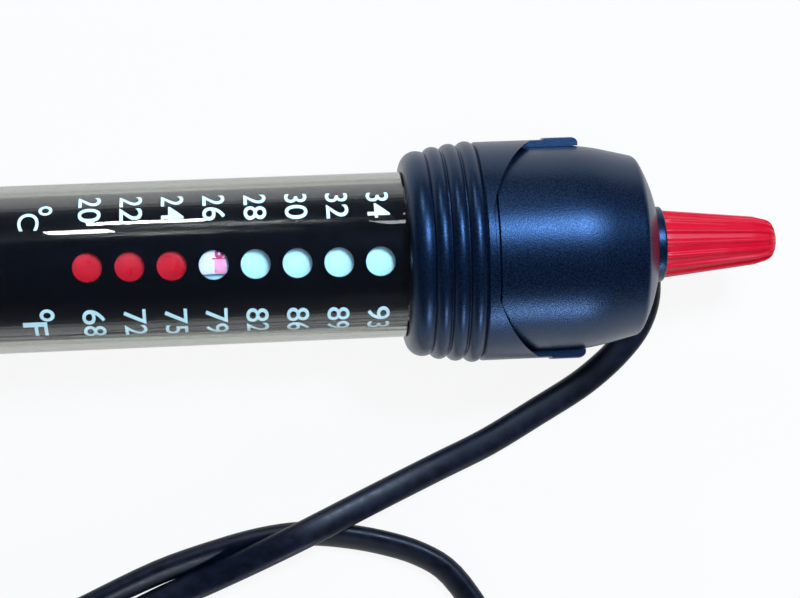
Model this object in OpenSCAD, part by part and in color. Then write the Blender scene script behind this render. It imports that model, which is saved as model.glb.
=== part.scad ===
// Submersible aquarium heater: a glass tube with a scale inside, a ribbed cap with a fluted
// setting knob, and a flat cord with its plug.
// The heater lies level on the surface z = 0, on the largest rib of its cap. +X runs along it
// towards the knob, +Z is the side that the scale faces, and x = 0 is the middle of its length.
// Inside the modules, x = 0 is the mouth of the cap and the axis of the tube is y = z = 0.

/* [Glass tube] */
// Outside diameter of the tube
tube_d = 30; // [27:0.5:33]
// Thickness of the glass
tube_wall = 1.2; // [0.8:0.1:1.6]
// Length of glass from the cap's mouth to the closed end
tube_reach = 245; // [235:1:300]
// Length of glass inside the cap
tube_seat = 14; // [12:0.5:16]

/* [Cap] */
// Length from the mouth to the end of the knob's boss
cap_len = 47.6; // [46:0.2:54]
// Diameter over the largest rib
rib_d = 40.2; // [39:0.2:44]
// Number of ribs round the mouth
rib_count = 4; // [3:1:4]
// Distance from rib to rib
rib_pitch = 3; // [2.6:0.05:3.3]
// Thickness of the head's wall
head_wall = 2.2; // [1.6:0.1:2.6]
// How far the skirt stands out from the head
skirt_t = 1.2; // [0.8:0.1:1.6]
// Where the scallop in the skirt begins
scallop_start = 13.9; // [13.6:0.1:16]
// Length of the scallop's curved part
scallop_len = 14; // [9:0.5:15]
// Where the skirt's side tabs end
tab_end = 32.4; // [29:0.2:33]
// Height of each tab
tab_w = 7; // [5:0.5:10]
// How far each tab stands out from the skirt
tab_rise = 0.3; // [0:0.1:0.6]
// Diameter of the boss round the knob
boss_d = 13.8; // [13.4:0.2:15]

/* [Knob] */
// Length of the knob beyond the boss
knob_len = 21.4; // [16:0.2:26]
// Diameter where it enters the boss
knob_base_d = 12.5; // [11:0.1:12.6]
// Diameter at its tip
knob_tip_d = 8; // [7.4:0.1:10]
// Number of flutes
flute_count = 15; // [12:1:16]
// Depth of each flute
flute_depth = 0.45; // [0.3:0.05:0.6]

/* [Scale] */
// Diameter of each window in the film
window_d = 5.4; // [4:0.1:6]
// Distance from window to window
window_pitch = 7.55; // [7:0.05:7.6]
// Distance of the first window from the cap's mouth
window_start = 4; // [4:0.1:5]
// Thickness of the film
film_t = 0.35; // [0.25:0.05:0.5]
// Space between the film and the glass
film_gap = 0.8; // [0.5:0.1:1]
// Angle that the row of windows drifts round the tube
window_drift = 5.5; // [0:0.5:6]

/* [Setting drive] */
// Diameter of the spindle
spindle_d = 4; // [3.6:0.1:4.2]
// Travel of the indicator for one turn of the knob
screw_lead = 60; // [50:1:80]
// Thickness of the twisted bar
bar_t = 1.6; // [1.2:0.1:1.8]
// Thickness of the indicator slide
slide_t = 0.35; // [0.3:0.05:0.45]
// Half of the angle that the indicator slide spans
slide_angle = 20; // [18:0.5:20.5]

/* [Thermostat] */
// Radius of the cam at the setting shown
cam_r = 4.2; // [3.9:0.05:4.4]
// Growth of the cam's radius for each radian of the knob
cam_rise = 0.216; // [0.15:0.001:0.24]
// Width of the bimetal strip
bimetal_w = 5; // [3:0.5:6]
// Thickness of the bimetal strip
bimetal_t = 0.5; // [0.3:0.05:0.6]
// Space between the open contacts
contact_gap = 1; // [0.9:0.05:1.2]

/* [Heating element] */
// Diameter of the ceramic core
core_d = 16; // [12:0.5:18]
// Space from the heat shield to the ceramic core
core_gap = 7; // [6.6:0.1:12]
// Space from the ceramic core to where the tube's end starts to round
end_gap = 4; // [3.8:0.1:8]
// Turns of the heating wire
coil_turns = 17; // [12:1:18]
// Diameter of the heating wire
coil_wire_d = 0.9; // [0.6:0.05:1.2]

/* [Cord and plug] */
// Width of the flat cord
cord_w = 5.4; // [5:0.1:5.6]
// Thickness of the flat cord
cord_t = 3.3; // [3:0.1:3.4]
// Straight part of the folded cord
hank_run = 41; // [36:1:42]
// Radius of the inmost fold
fold_r = 16.5; // [16:0.1:16.5]
// Distance between the plug's pins
pin_pitch = 18.6; // [17.5:0.1:19]
// Diameter of each pin
pin_d = 4; // [3.8:0.1:4.8]
// Length of each pin from the plug's face
pin_len = 19; // [17:0.5:20]
// Width of the plug at its face
plug_w = 35.3; // [33:0.1:37]
// Thickness of the plug
plug_t = 13.7; // [12:0.1:14]
// Length of the plug's body
plug_len = 36; // [32:0.5:40]

/* [Hidden] */

$fn = 96;
run_gap = 0.06;   // radial clearance of a shaft that turns in a bearing
fit_gap = 0.05;   // radial clearance of parts that are pushed together
move_gap = 0.3;   // space between parts that slide past each other

// Glass tube
tube_r = tube_d / 2;
bore_r = tube_r - tube_wall;
seat_step = 0.25;                     // depth of the ground band that the cap grips
seat_r = tube_r - seat_step;
end_centre = -(tube_reach - tube_r); // centre of the round closed end

// Cap
rib_r = rib_d / 2;
rib_round = 1.8;
rib_depth = 0.7;
rib_drop = [1.45, 0.8, 0.35, 0];     // how much lower each rib is than the largest, from the mouth on
lip_round = 2.9;                     // the first rib is the rounded lip of the mouth
function rib_x(i) = lip_round + rib_pitch * i;
function rib_crest(i) = rib_r - rib_drop[len(rib_drop) - rib_count + i];
rib_end = rib_x(rib_count - 1);
skirt_r = rib_r - 0.2;
tab_r = skirt_r + tab_rise;
tab_start = scallop_start + scallop_len - 1.9;
tab_round = 1;
head_r = skirt_r - skirt_t;
head_start = 13.5;
gasket_start = 10.6;
gasket_wire = 0.95;
gasket_x = gasket_start + 1.45;
boss_r = boss_d / 2;
boss_len = 1.5;
boss_lip = 0.5;                      // thickness of the boss's rim round the knob
face_start = cap_len - boss_len;     // where the domed end meets the boss
shoulder_x = cap_len - 5.6;
shoulder_r = head_r - 2;
crown_x = cap_len - 3.6;
crown_r = shoulder_r - 2.3;
dome_r = 27.3;                       // radius of the domed end, seen from the side
dome_edge = [shoulder_x + 0.86, shoulder_r - 0.89]; // where the dome meets the shoulder's rounding
shoulder_round = 1.5;
neck_r = 4.6;
neck_len = 8;
recess_len = 2.2;
seal_wire = 0.7;
spindle_r = spindle_d / 2;
seal_bore = spindle_r + 2 * seal_wire + 2 * fit_gap;
seal_count = 2;
seal_step = 2 * seal_wire + fit_gap;
seal_room = seal_step * seal_count;
washer_t = 0.8;
neck_start = cap_len - recess_len - neck_len;
flange_t = 3.4;
bung_start = 3;

// Knob
knob_start = cap_len - recess_len + 0.3;
knob_base_r = knob_base_d / 2;
knob_tip_r = knob_tip_d / 2;
knob_end = cap_len + knob_len;
knob_dome = 0.35;
knob_round = 2.4;
knob_tip_round = 6;
knob_bore_len = 14;

// Scale and slide
film_r = bore_r - film_gap;
film_in = film_r - film_t;
window_count = 8;
shown = 3;                           // the window that the indicator points at, from the cold end
function window_x(i) = -window_start - window_pitch * (window_count - 1 - i);
function window_angle(i) = window_drift * i / (window_count - 1);
slide_r = film_in - move_gap;
reflector_r = slide_r - slide_t - move_gap;
reflector_t = 0.6;
reflector_back = window_x(0) - window_d / 2 - 2.8;
rail_start = slide_angle + 1.5;
rail_angle = 6;
carrier_r = film_in - fit_gap;
carrier_t = 2.2;
film_front = bung_start;             // the film and the chassis butt against the bung
front_carrier_x = bung_start - carrier_t;
film_lap = 1.2;                      // how far the film reaches past the rear carrier
slide_front = window_x(shown) - window_pitch / 2;
tongue_front = window_x(shown) + window_d / 2 - 0.5;
tongue_angle = 11;
yoke_t = 1.2;
cold_travel = window_pitch * shown;
hot_travel = window_pitch * (window_count - 1 - shown);
slide_lap = 4.25;                    // slide left behind the coldest window at the hottest setting
yoke_x = window_x(0) - window_d / 2 - hot_travel - slide_lap;
slide_back = yoke_x - yoke_t / 2;
bar_back = yoke_x - cold_travel - 1.6;
bar_front = yoke_x + hot_travel + 1.4;
rear_carrier_x = bar_back - 2.35 - carrier_t;
rail_back = rear_carrier_x + carrier_t;
film_back = rear_carrier_x - film_lap;
slot_gap = 0.35;
journal_r = 1.2;
journal_gap = 0.4;                   // from the journal's end to the lamp board

// Thermostat
bed_w = 9.2;
bed_top = -10.3;
bed_t = 1;
cam_x = -12.5;
cam_t = 3;
cam_gap = 0.15;
cam_turn = 166;                      // angle before the setting shown at which the cam's step lies
pivot_x = cam_x - 18;
pivot_z = -7.4;
pivot_r = 0.6;
hub_r = 1.4;
arm_w = 4;
arm_t = 0.6;
contact_x = pivot_x - 16;
arm_back = contact_x - 4.7;            // far enough back to balance the arm on its pin
contact_r = 1.2;
contact_t = 0.5;
bimetal_z = -6.9;                    // underside of the bimetal strip
bimetal_front = contact_x + 1.7;
terminal_len = 4;
terminal_w = 3.6;
terminal_t = 1.7;
screw_r = 1.3;                       // heads of the terminals' screws
screw_t = 0.5;
rear_terminal_x = rail_back + 6.6;
front_terminal_x = cam_x - 9.5;
post_front = rear_terminal_x + 14;
post_len = 6;
magnet_x = contact_x - 11.5;         // rear face of the magnet
magnet_w = 4;
magnet_gap = 1.3;                    // space from the magnet to the strip
bimetal_back = post_front + 0.1;
lug_t = 1.2;
lug_y = arm_w / 2 + 0.4;
wire_y = 6.5;
wire_z = -6;
wire_r = 0.8;
lead_gap = 0.8;                      // room round a lead in the heat shield

// Lamp and heating element
board_t = 0.8;
board_w = 7.6;
board_back = rear_carrier_x - 19;
lamp_r = 2.3;
lamp_len = 9;
lamp_inset = 5;                      // from the board's rear end to the lamp and its resistor
lamp_rise = 0.6;                     // space under the lamp
leg_r = 0.3;
resistor_r = 1.2;
resistor_len = 6.5;
resistor_leg = 1;                    // straight leg beyond each end of the resistor
resistor_drop = 1.9;                 // from the board to the resistor's axis
shield_t = 1.2;
shield_x = board_back - shield_t;
inner_r = bore_r - fit_gap;
spacer_t = 3;
core_back = end_centre + end_gap;
core_front = shield_x - core_gap;    // the core fills the room between the shield and the closed end
core_len = core_front - core_back;
core_r = core_d / 2;
rod_r = 1.2;
nut_t = 1.8;
nut_r = 2.6;                         // over the corners
spacer_hole_r = 2.2;
rod_end = 0.6;                       // how far the rod stands out of each nut
rod_back = core_back - spacer_t - nut_t - rod_end;
rod_front = core_front + spacer_t + nut_t + rod_end;
coil_wire_r = coil_wire_d / 2;
coil_step = 24;                      // degrees from ring to ring of the coil
coil_r = (core_r + coil_wire_r + fit_gap) / cos(coil_step / 2);
coil_margin = 4;
coil_front = core_front - coil_margin;
coil_back = core_back + coil_margin;
front_nut_x = core_front + spacer_t + nut_t / 2;
rear_nut_x = core_back - spacer_t - nut_t / 2;
lead_angle = atan2(wire_y, -wire_z);
spacer_hole_y = norm([wire_y, wire_z]);

// Cord: each point of its route is [x, y, z, roll] on the surface that the heater lies on, and
// roll turns its wide side up from level
cord_sides = 10;
CORD_ROUTE = [
    [135.2, -5.2, 7.6, 0], [135.4, -9.3, 5.6, 0], [134.7, -12.8, 4.1, 0], [133.2, -16, 3, 0],
    [130.8, -19, 2.3, 0], [127.2, -22.4, 1.9, 0], [122, -26.2, 1.7, 0], [114, -30.7, 1.7, 0],
    [104.3, -36, 1.7, 0], [95, -40.1, 1.7, 0], [86, -44, 2.6, 0], [77, -47.8, 4.9, 0],
    [68, -51.7, 6.4, 0], [59, -55.7, 5, 0], [50, -59.6, 2.7, 0], [41, -63.2, 1.8, 0],
    [32, -67.6, 1.7, 0], [24, -74, 1.7, 0], [20, -83, 1.7, 4], [21.5, -93, 1.8, 8],
    [28, -101.5, 1.9, 14], [38, -107.5, 2, 20], [50, -111, 2.1, 26], [63, -112.5, 2.2, 32],
    [77, -111.5, 2.2, 36], [90, -107.5, 2.3, 40], [100, -100, 2.3, 43], [105.5, -90, 2.3, 43],
    [106, -79, 2.3, 43], [102.5, -70.5, 2.3, 43], [96.4, -61, 2.3, 43], [90.5, -56.7, 2.3, 43],
    [83, -54, 2.3, 43], [75, -52.3, 2.3, 43], [68, -51.7, 2.3, 43], [60.5, -52.4, 2.3, 43],
    [52, -54.3, 2.3, 43], [41, -57.6, 2.3, 43], [27.4, -63.2, 2.4, 52], [15, -68.5, 2.6, 64],
    [3, -73.2, 2.9, 78], [-9, -77.2, 3.2, 90], [-22.5, -79.5, 3.3, 90]
];
TAIL_ROUTE = [[-62, -79.5, 8.9, 90], [-74, -78.5, 8.6, 60], [-84, -77, 7.6, 25], [-94, -76, 6.9, 0]];
GLAND_ROUTE = [[129, 1.5, 9.9, 0], [131.6, 1.5, 9.9, 0], [133.8, 1, 9.7, 0], [135, -1, 9, 0],
    [135.3, -3.6, 8.2, 0], [135.2, -6.2, 7.1, 0]];
gland_hole_r = 3.8;
gland_hole_y = 1.5;
gland_hole_z = -10.2;
gland_wall = 0.6;
gland_face = crown_x - head_wall - 2; // inner end of the gland
cord_steps = 2;
hank_x = -43;
hank_y = -56;
hank_rise = 0.6;
hank_r = fold_r + 7 + cord_t / 2;
hank_h = 2 * cord_w + 0.2;
tie_w = 9;
tie_t = 0.6;

// Plug
plug_x = -110;                       // the end of the body that the cord enters
plug_y = -76;
boot_len = 18;
boot_r = 4.6;
sleeve_len = 10;
sleeve_t = 0.5;
pin_tip = 1;
sleeve_step = 0.2;                   // how much thinner a sleeve is than its pin

// Points of an arc, from angle a to angle b
function arc(centre, r, a, b, n = 8) =
    [for (i = [0:n]) centre + r * [cos(a + (b - a) * i / n), sin(a + (b - a) * i / n)]];

// Centre of the arc of radius r that bulges outwards from a to b
function arc_centre(a, b, r) = let (d = b - a)
    (a + b) / 2 - [-d[1], d[0]] / norm(d) * sqrt(r * r - d * d / 4);

// Points of that arc
function bulge(a, b, r, n = 8) =
    let (c = arc_centre(a, b, r), from = a - c, to = b - c)
    arc(c, r, atan2(from[1], from[0]), atan2(to[1], to[0]), n);

// A point of the smooth curve through four route points
function between(a, b, c, d, t) =
    0.5 * (2 * b + (c - a) * t + (2 * a - 5 * b + 4 * c - d) * t * t
        + (3 * b - a - 3 * c + d) * t * t * t);

// A route with steps points for each of its own
function smooth(route, steps) = let (n = len(route)) [
    for (i = [0:n - 2], k = [0:steps - 1])
        between(route[max(i - 1, 0)], route[i], route[i + 1], route[min(i + 2, n - 1)], k / steps),
    route[n - 1]
];

function place(p) = [p[0], p[1], p[2]];
function unit(v) = v / norm(v);
function heading(path, i) =
    unit(place(path[min(i + 1, len(path) - 1)]) - place(path[max(i - 1, 0)]));

// The ring of points round a route at one of its points: an oval with the half sizes wide and thick
function ring(path, i, wide, thick, sides) =
    let (t = heading(path, i), side = unit(cross(t, [0, 0, 1])), up = cross(side, t),
         roll = path[i][3], a = side * cos(roll) + up * sin(roll), b = up * cos(roll) - side * sin(roll))
    [for (k = [0:sides - 1]) let (w = 360 * k / sides)
        place(path[i]) + a * wide * cos(w) + b * thick * sin(w)];

// A closed oval tube along a route
module sweep(path, wide, thick, sides) {
    rings = [for (i = [0:len(path) - 1]) each ring(path, i, wide, thick, sides)];
    last = (len(path) - 1) * sides;
    polyhedron(rings, concat(
        [[for (k = [sides - 1:-1:0]) k]],
        [for (i = [0:len(path) - 2], k = [0:sides - 1]) let (j = (k + 1) % sides, s = i * sides)
            each [[s + k, s + j, s + sides + j], [s + k, s + sides + j, s + sides + k]]],
        [[for (k = [0:sides - 1]) last + k]]
    ), convexity = 10);
}

// A wire through its bends, given in the tube's own frame
module wire(points, r) {
    sweep([for (p = points) [p[0], p[1], p[2], 0]], r, r, 6);
}

// Everything that is built about the tube's axis goes through here
module in_frame() {
    translate([(tube_reach - cap_len - knob_len) / 2, 0, rib_r]) children();
}

// Turns a shape built up along Z so that it runs along X from x on
module along_x(x) {
    translate([x, 0, 0]) rotate([90, 0, 90]) children();
}

// A disc or rod about the axis, from x on
module disc(x, r, t) {
    along_x(x) cylinder(h = t, r = r);
}

// A part revolved about the axis from a profile in [x, radius]
module revolve() {
    along_x(0) rotate_extrude() mirror([1, -1]) children();
}

// A curved strip about the axis: from x on, t thick inwards from r, between two angles from the top
module strip(x, len, r, t, from, to) {
    along_x(x) linear_extrude(len) intersection() {
        difference() {
            circle(r);
            circle(r - t);
        }
        polygon([[0, 0], for (w = [from, (from + to) / 2, to]) 1.5 * r * [sin(w), cos(w)]]);
    }
}

// A block between two corners
module block(low, high) {
    translate(low) cube(high - low);
}

// Holes for the two leads, from x on
module lead_holes(x, len, r) {
    for (side = [-1, 1]) translate([x, side * wire_y, wire_z]) rotate([0, 90, 0])
        cylinder(h = len, r = r, $fn = 32);
}

// ---- Glass and cap ----

module glass_tube() color([0.8, 0.86, 0.8, 0.35]) in_frame() difference() {
    union() {
        disc(end_centre, tube_r, -end_centre);
        disc(-0.01, seat_r, tube_seat + 0.01);
        translate([end_centre, 0, 0]) sphere(tube_r);
    }
    disc(end_centre, bore_r, -end_centre + tube_seat + 1);
    translate([end_centre, 0, 0]) sphere(bore_r);
}

module rib_profile() {
    polygon(concat(
        [[rib_end, seat_r], [0, seat_r], [0, rib_crest(0) - lip_round]],
        [for (i = [0:rib_count - 1]) [rib_x(i), rib_crest(i) - rib_depth]]
    ));
    translate([lip_round, rib_crest(0) - lip_round]) circle(lip_round);
    for (i = [1:rib_count - 1]) translate([rib_x(i), rib_crest(i) - rib_round]) circle(rib_round, $fn = 48);
}

// The skirt, with the tabs' raised and rounded end
module skirt_profile() polygon(concat(
    [[rib_end - 1, seat_r], [rib_end - 1, skirt_r - rib_depth], [rib_end + 1.2, skirt_r - rib_depth],
     [rib_end + 1.6, skirt_r - 0.1], [rib_end + 1.8, skirt_r], [tab_start, skirt_r],
     [tab_start + tab_rise, tab_r]],
    arc([tab_end - tab_round, tab_r - tab_round], tab_round, 90, 10, 5),
    [[tab_end, seat_r]]
));

module collar() color([0.08, 0.13, 0.23]) in_frame() difference() {
    revolve() {
        rib_profile();
        skirt_profile();
    }
    disc(-1, seat_r + fit_gap, head_start + 2);
    disc(gasket_start, seat_r + 2 * gasket_wire + 2 * fit_gap, head_start - gasket_start + 0.01);
    disc(head_start, head_r + fit_gap, tab_end);
    scallop_cuts();
}

// The curved cuts through the skirt above and below, which leave a tab on each side
module scallop_cuts() {
    half = tab_r + 0.3;
    for (flip = [0, 180]) rotate([flip, 0, 0]) translate([scallop_start + scallop_len, 0, tab_w / 2])
        linear_extrude(1.5 * rib_r) {
            scale([scallop_len / half, 1]) circle(half);
            translate([0, -half]) square([tab_end, 2 * half]);
        }
}

module head_profile() {
    edge = dome_edge;
    normal = (edge - arc_centre(edge, [face_start, boss_r], dome_r)) / dome_r;
    polygon(concat(
        [[head_start, bore_r + 2.5], [head_start, head_r], [head_start + 19.5, head_r]],
        arc(edge - shoulder_round * normal, shoulder_round, 77, atan2(normal[1], normal[0]), 5),
        bulge(edge, [face_start, boss_r], dome_r, 8),
        [[cap_len - 0.4, boss_r], [cap_len, boss_r - 0.4],
         [cap_len, boss_r - boss_lip], [cap_len - recess_len, boss_r - boss_lip],
         [cap_len - recess_len, spindle_r + run_gap], [neck_start + washer_t + seal_room, spindle_r + run_gap],
         [neck_start + washer_t + seal_room, seal_bore], [neck_start, seal_bore], [neck_start, neck_r],
         [crown_x - head_wall, neck_r], [shoulder_x - head_wall, crown_r - head_wall],
         [shoulder_x - 2 * head_wall, shoulder_r - head_wall], [head_start + 19.5, head_r - head_wall],
         [head_start + flange_t + 0.9, head_r - head_wall], [head_start + flange_t + 0.5, bore_r + 2.5]]
    ));
}

// The gland's bent sleeve, with room around it
module gland_sleeve(room) {
    sweep(smooth(GLAND_ROUTE, 2), cord_w / 2 + gland_wall + room, cord_t / 2 + gland_wall + room, 12);
}

module head_shell() color([0.09, 0.14, 0.25]) difference() {
    in_frame() difference() {
        revolve() head_profile();
        translate([shoulder_x - 6, gland_hole_y, gland_hole_z]) rotate([0, 90, 0])
            cylinder(h = 12, r = gland_hole_r);
    }
    gland_sleeve(fit_gap);
}

module cord_gland() color([0.07, 0.09, 0.14]) {
    gland_sleeve(0);
    in_frame() translate([gland_face, gland_hole_y, gland_hole_z])
        rotate([0, 90, 0]) cylinder(h = 3.6, r = gland_hole_r - fit_gap, $fn = 48);
}

module tube_gasket() color([0.12, 0.12, 0.13]) in_frame()
    revolve() translate([gasket_x, seat_r + fit_gap + gasket_wire]) circle(gasket_wire, $fn = 32);

module bung() color([0.15, 0.15, 0.16]) in_frame() difference() {
    union() {
        disc(bung_start, bore_r - fit_gap, tube_seat - bung_start + 0.1);
        disc(tube_seat + 0.1, bore_r + 2.4, flange_t);
    }
    disc(bung_start - 1, spindle_r + move_gap, 20);
    lead_holes(bung_start - 1, 20, wire_r + 0.1);
}

// ---- Knob and spindle ----

function knob_r(x) = knob_base_r + (knob_tip_r - knob_base_r) * (x - cap_len) / knob_len;

module knob() color([0.9, 0.06, 0.14]) in_frame() difference() {
    corner = [knob_end - knob_dome - knob_round, knob_tip_r - knob_round];
    revolve() polygon(concat(
        [[knob_start, 0], [knob_start, knob_r(cap_len)], [cap_len, knob_r(cap_len)]],
        arc(corner, knob_round, 84, 12, 7),
        bulge(corner + knob_round * [cos(12), sin(12)], [knob_end, 0], knob_tip_round, 4)
    ));
    // Each flute is cut by a cone whose axis nears the knob's towards the tip, as the knob tapers
    groove = PI * knob_base_r / flute_count;
    taper = knob_tip_r / knob_base_r;
    cutter_base = knob_base_r + groove - flute_depth;
    cutter_tip = knob_tip_r + (groove - flute_depth) * taper;
    slope = atan((cutter_base - cutter_tip) / knob_len);
    for (i = [0:flute_count - 1]) rotate([360 * (i + 0.5) / flute_count, 0, 0])
        translate([cap_len, 0, cutter_base]) rotate([0, 90 + slope, 0]) translate([0, 0, -0.6])
            cylinder(h = knob_len + 4, r1 = groove, r2 = groove * taper, $fn = 24);
    disc(knob_start - 1, spindle_r + fit_gap / 2, knob_bore_len + 1);
}

module spindle() color([0.72, 0.72, 0.7]) in_frame() {
    difference() {
        union() {
            disc(bar_front, spindle_r, knob_start + knob_bore_len - 0.4 - bar_front);
            disc(head_start + flange_t + 1.5, spindle_r + 1.4, 1.6);
        }
        clip_groove();
    }
    bar_len = bar_front - bar_back + 0.2;
    along_x(bar_back) linear_extrude(bar_len, twist = 360 * bar_len / screw_lead, slices = 48, $fn = 4)
        rotate(360 * (yoke_x - bar_back) / screw_lead) square([spindle_d - 0.1, bar_t], center = true);
    disc(rear_carrier_x + journal_gap, journal_r, bar_back - rear_carrier_x - journal_gap + 0.01);
}

module clip_groove() {
    difference() {
        disc(neck_start - 1.6, spindle_r + 1, washer_t + 0.1);
        disc(neck_start - 2, spindle_r - 0.5, 4);
    }
}

module spindle_clip() color([0.8, 0.7, 0.4]) in_frame() difference() {
    disc(neck_start - 1.55, spindle_r + 1.5, washer_t);
    disc(neck_start - 2, spindle_r - 0.5 + fit_gap / 2, 4);
    block([neck_start - 2, -0.9, 0], [neck_start + 2, 0.9, spindle_r + 3]);
}

module shaft_seals() color([0.1, 0.1, 0.1]) in_frame() for (i = [0:seal_count - 1])
    revolve() translate([neck_start + washer_t + seal_step * (i + 0.5), spindle_r + seal_wire + fit_gap])
        circle(seal_wire, $fn = 24);

module seal_washer() color([0.75, 0.75, 0.72]) in_frame() difference() {
    disc(neck_start, seal_bore - fit_gap, washer_t);
    disc(neck_start - 1, spindle_r + move_gap, washer_t + 2);
}

// ---- Scale and indicator ----

module scale_film() color([0.04, 0.06, 0.12]) in_frame() difference() {
    disc(film_back, film_r, film_front - film_back);
    disc(film_back - 1, film_in, film_front - film_back + 2);
    for (i = [0:window_count - 1]) rotate([window_angle(i), 0, 0]) translate([window_x(i), 0, 0])
        cylinder(h = film_r + 1, r = window_d / 2);
}

module front_carrier() color([0.93, 0.93, 0.9]) in_frame() difference() {
    disc(front_carrier_x, carrier_r, carrier_t);
    disc(front_carrier_x - 1, spindle_r + run_gap, carrier_t + 2);
    lead_holes(front_carrier_x - 1, carrier_t + 2, wire_r + 0.3);
}

module rear_carrier() color([0.93, 0.93, 0.9]) in_frame() difference() {
    disc(rear_carrier_x, carrier_r, carrier_t);
    disc(rear_carrier_x - 1, journal_r + run_gap, carrier_t + 2);
    lead_holes(rear_carrier_x - 1, carrier_t + 2, wire_r + 0.3);
}

module guide_rails() color([0.93, 0.93, 0.9]) in_frame() for (side = [-1, 1])
    strip(rail_back, front_carrier_x - rail_back, slide_r, slide_t + move_gap + reflector_t,
        side * rail_start, side * (rail_start + rail_angle));

module reflector() color([0.96, 0.97, 0.97]) in_frame()
    strip(reflector_back, front_carrier_x - reflector_back, reflector_r, reflector_t,
        -rail_start + 0.05, rail_start - 0.05);

module indicator_slide() color([0.85, 0.1, 0.14]) in_frame()
    strip(slide_back, slide_front - slide_back, slide_r, slide_t, -slide_angle, slide_angle);

module indicator_tongue() color([0.95, 0.86, 0.88]) in_frame()
    strip(slide_front, tongue_front - slide_front, slide_r, slide_t, -tongue_angle, tongue_angle);

module slide_yoke() color([0.9, 0.9, 0.88]) in_frame() difference() {
    union() {
        disc(yoke_x - yoke_t / 2, spindle_r + 1.7, yoke_t);
        block([yoke_x - yoke_t / 2, -1.6, spindle_r], [yoke_x + yoke_t / 2, 1.6, slide_r - slide_t - 0.2]);
        strip(yoke_x - yoke_t / 2, yoke_t, slide_r - slide_t, 1, -slide_angle + 4, slide_angle - 4);
    }
    block([yoke_x - yoke_t, -spindle_r - slot_gap, -bar_t / 2 - slot_gap],
        [yoke_x + yoke_t, spindle_r + slot_gap, bar_t / 2 + slot_gap]);
}

// ---- Thermostat ----

// A rod across the tube at the contact arm's pivot
module pivot(len, r) {
    translate([pivot_x, 0, pivot_z]) rotate([90, 0, 0]) cylinder(h = len, r = r, center = true, $fn = 32);
}

module thermostat_bed() color([0.45, 0.3, 0.2]) in_frame() {
    block([rail_back, -bed_w / 2, bed_top - bed_t], [front_carrier_x, bed_w / 2, bed_top]);
    for (side = [-1, 1]) difference() {
        lug = side * (lug_y + lug_t / 2);
        block([pivot_x - 1.8, lug - lug_t / 2, bed_top], [pivot_x + 1.8, lug + lug_t / 2, pivot_z + 1.6]);
        pivot(20, pivot_r + fit_gap / 2);
    }
}

function cam_edge(turn) = cam_r + cam_rise * turn * PI / 180;

module cam() color([0.9, 0.88, 0.8]) in_frame() difference() {
    along_x(cam_x - cam_t / 2) linear_extrude(cam_t) polygon([
        for (turn = [-cam_turn:9:360 - cam_turn]) cam_edge(turn) * [cos(-90 - turn), sin(-90 - turn)]
    ]);
    disc(cam_x - cam_t, spindle_r + fit_gap / 2, 2 * cam_t);
}

module contact_arm() color([0.8, 0.62, 0.3]) in_frame() {
    pad = -cam_r - cam_gap;
    rear = bimetal_z - contact_t - contact_gap - contact_t;
    difference() {
        translate([0, arm_w / 2, 0]) rotate([90, 0, 0]) linear_extrude(arm_w) union() {
            translate([pivot_x, pivot_z]) circle(hub_r, $fn = 40);
            polygon([[arm_back, rear], [arm_back, rear - arm_t], [contact_x + 2, rear - arm_t],
                [pivot_x, pivot_z - hub_r],
                [pivot_x + 1.2, pivot_z], [cam_x - cam_t, pad - 0.8], [cam_x + cam_t / 2 + 0.5, pad - 0.8],
                [cam_x + cam_t / 2 + 0.5, pad], [cam_x - cam_t / 2 - 0.6, pad],
                [pivot_x, pivot_z + hub_r - 0.3],
                [pivot_x - 1.2, pivot_z], [contact_x + 2, rear]]);
        }
        pivot(20, pivot_r + run_gap);
    }
}

module arm_pin() color([0.8, 0.8, 0.8]) in_frame() pivot(2 * (lug_y + lug_t + 0.3), pivot_r);

module arm_contact() color([0.88, 0.88, 0.86]) in_frame()
    translate([contact_x, 0, bimetal_z - 2 * contact_t - contact_gap])
        cylinder(h = contact_t, r = contact_r, $fn = 32);

module bimetal_strip() color([0.62, 0.58, 0.5]) in_frame()
    block([bimetal_back, -bimetal_w / 2, bimetal_z], [bimetal_front, bimetal_w / 2, bimetal_z + bimetal_t]);

module bimetal_contact() color([0.88, 0.88, 0.86]) in_frame()
    translate([contact_x, 0, bimetal_z - contact_t]) cylinder(h = contact_t, r = contact_r, $fn = 32);

module bimetal_post() color([0.8, 0.65, 0.3]) in_frame() {
    block([post_front - post_len, -bimetal_w / 2, bed_top],
        [post_front, bimetal_w / 2, bimetal_z + bimetal_t + 0.8]);
    translate([post_front - post_len / 2, 0, bimetal_z + bimetal_t]) cylinder(h = 1.9, r = 1.4, $fn = 32);
}

module magnet() color([0.3, 0.3, 0.32]) in_frame()
    block([magnet_x, -magnet_w / 2, bed_top],
        [magnet_x + magnet_w, magnet_w / 2, bimetal_z - magnet_gap]);

module terminals() color([0.8, 0.65, 0.3]) in_frame() for (x = [front_terminal_x, rear_terminal_x]) {
    block([x, -terminal_w / 2, bed_top], [x + terminal_len, terminal_w / 2, bed_top + terminal_t]);
    translate([x + terminal_len / 2, 0, bed_top + terminal_t])
        cylinder(h = screw_t, r = screw_r, $fn = 32);
}

// ---- Leads ----

module live_lead() color([0.45, 0.25, 0.12]) in_frame() wire([
    [gland_face + 0.3, gland_hole_y - 1.2, gland_hole_z], [gland_face - 2.5, -0.8, gland_hole_z],
    [gland_face - 7, -3.8, -9], [gland_face - 11, -6, -7], [gland_face - 15, -wire_y, wire_z - 0.1],
    [gland_face - 20, -wire_y, wire_z], [front_terminal_x + 16, -wire_y, wire_z],
    [front_terminal_x + 11, -5.6, -7.8], [front_terminal_x + 7, -3.6, -9.2],
    [front_terminal_x + terminal_len - 0.2, -1, bed_top + 0.9]
], wire_r);

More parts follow.
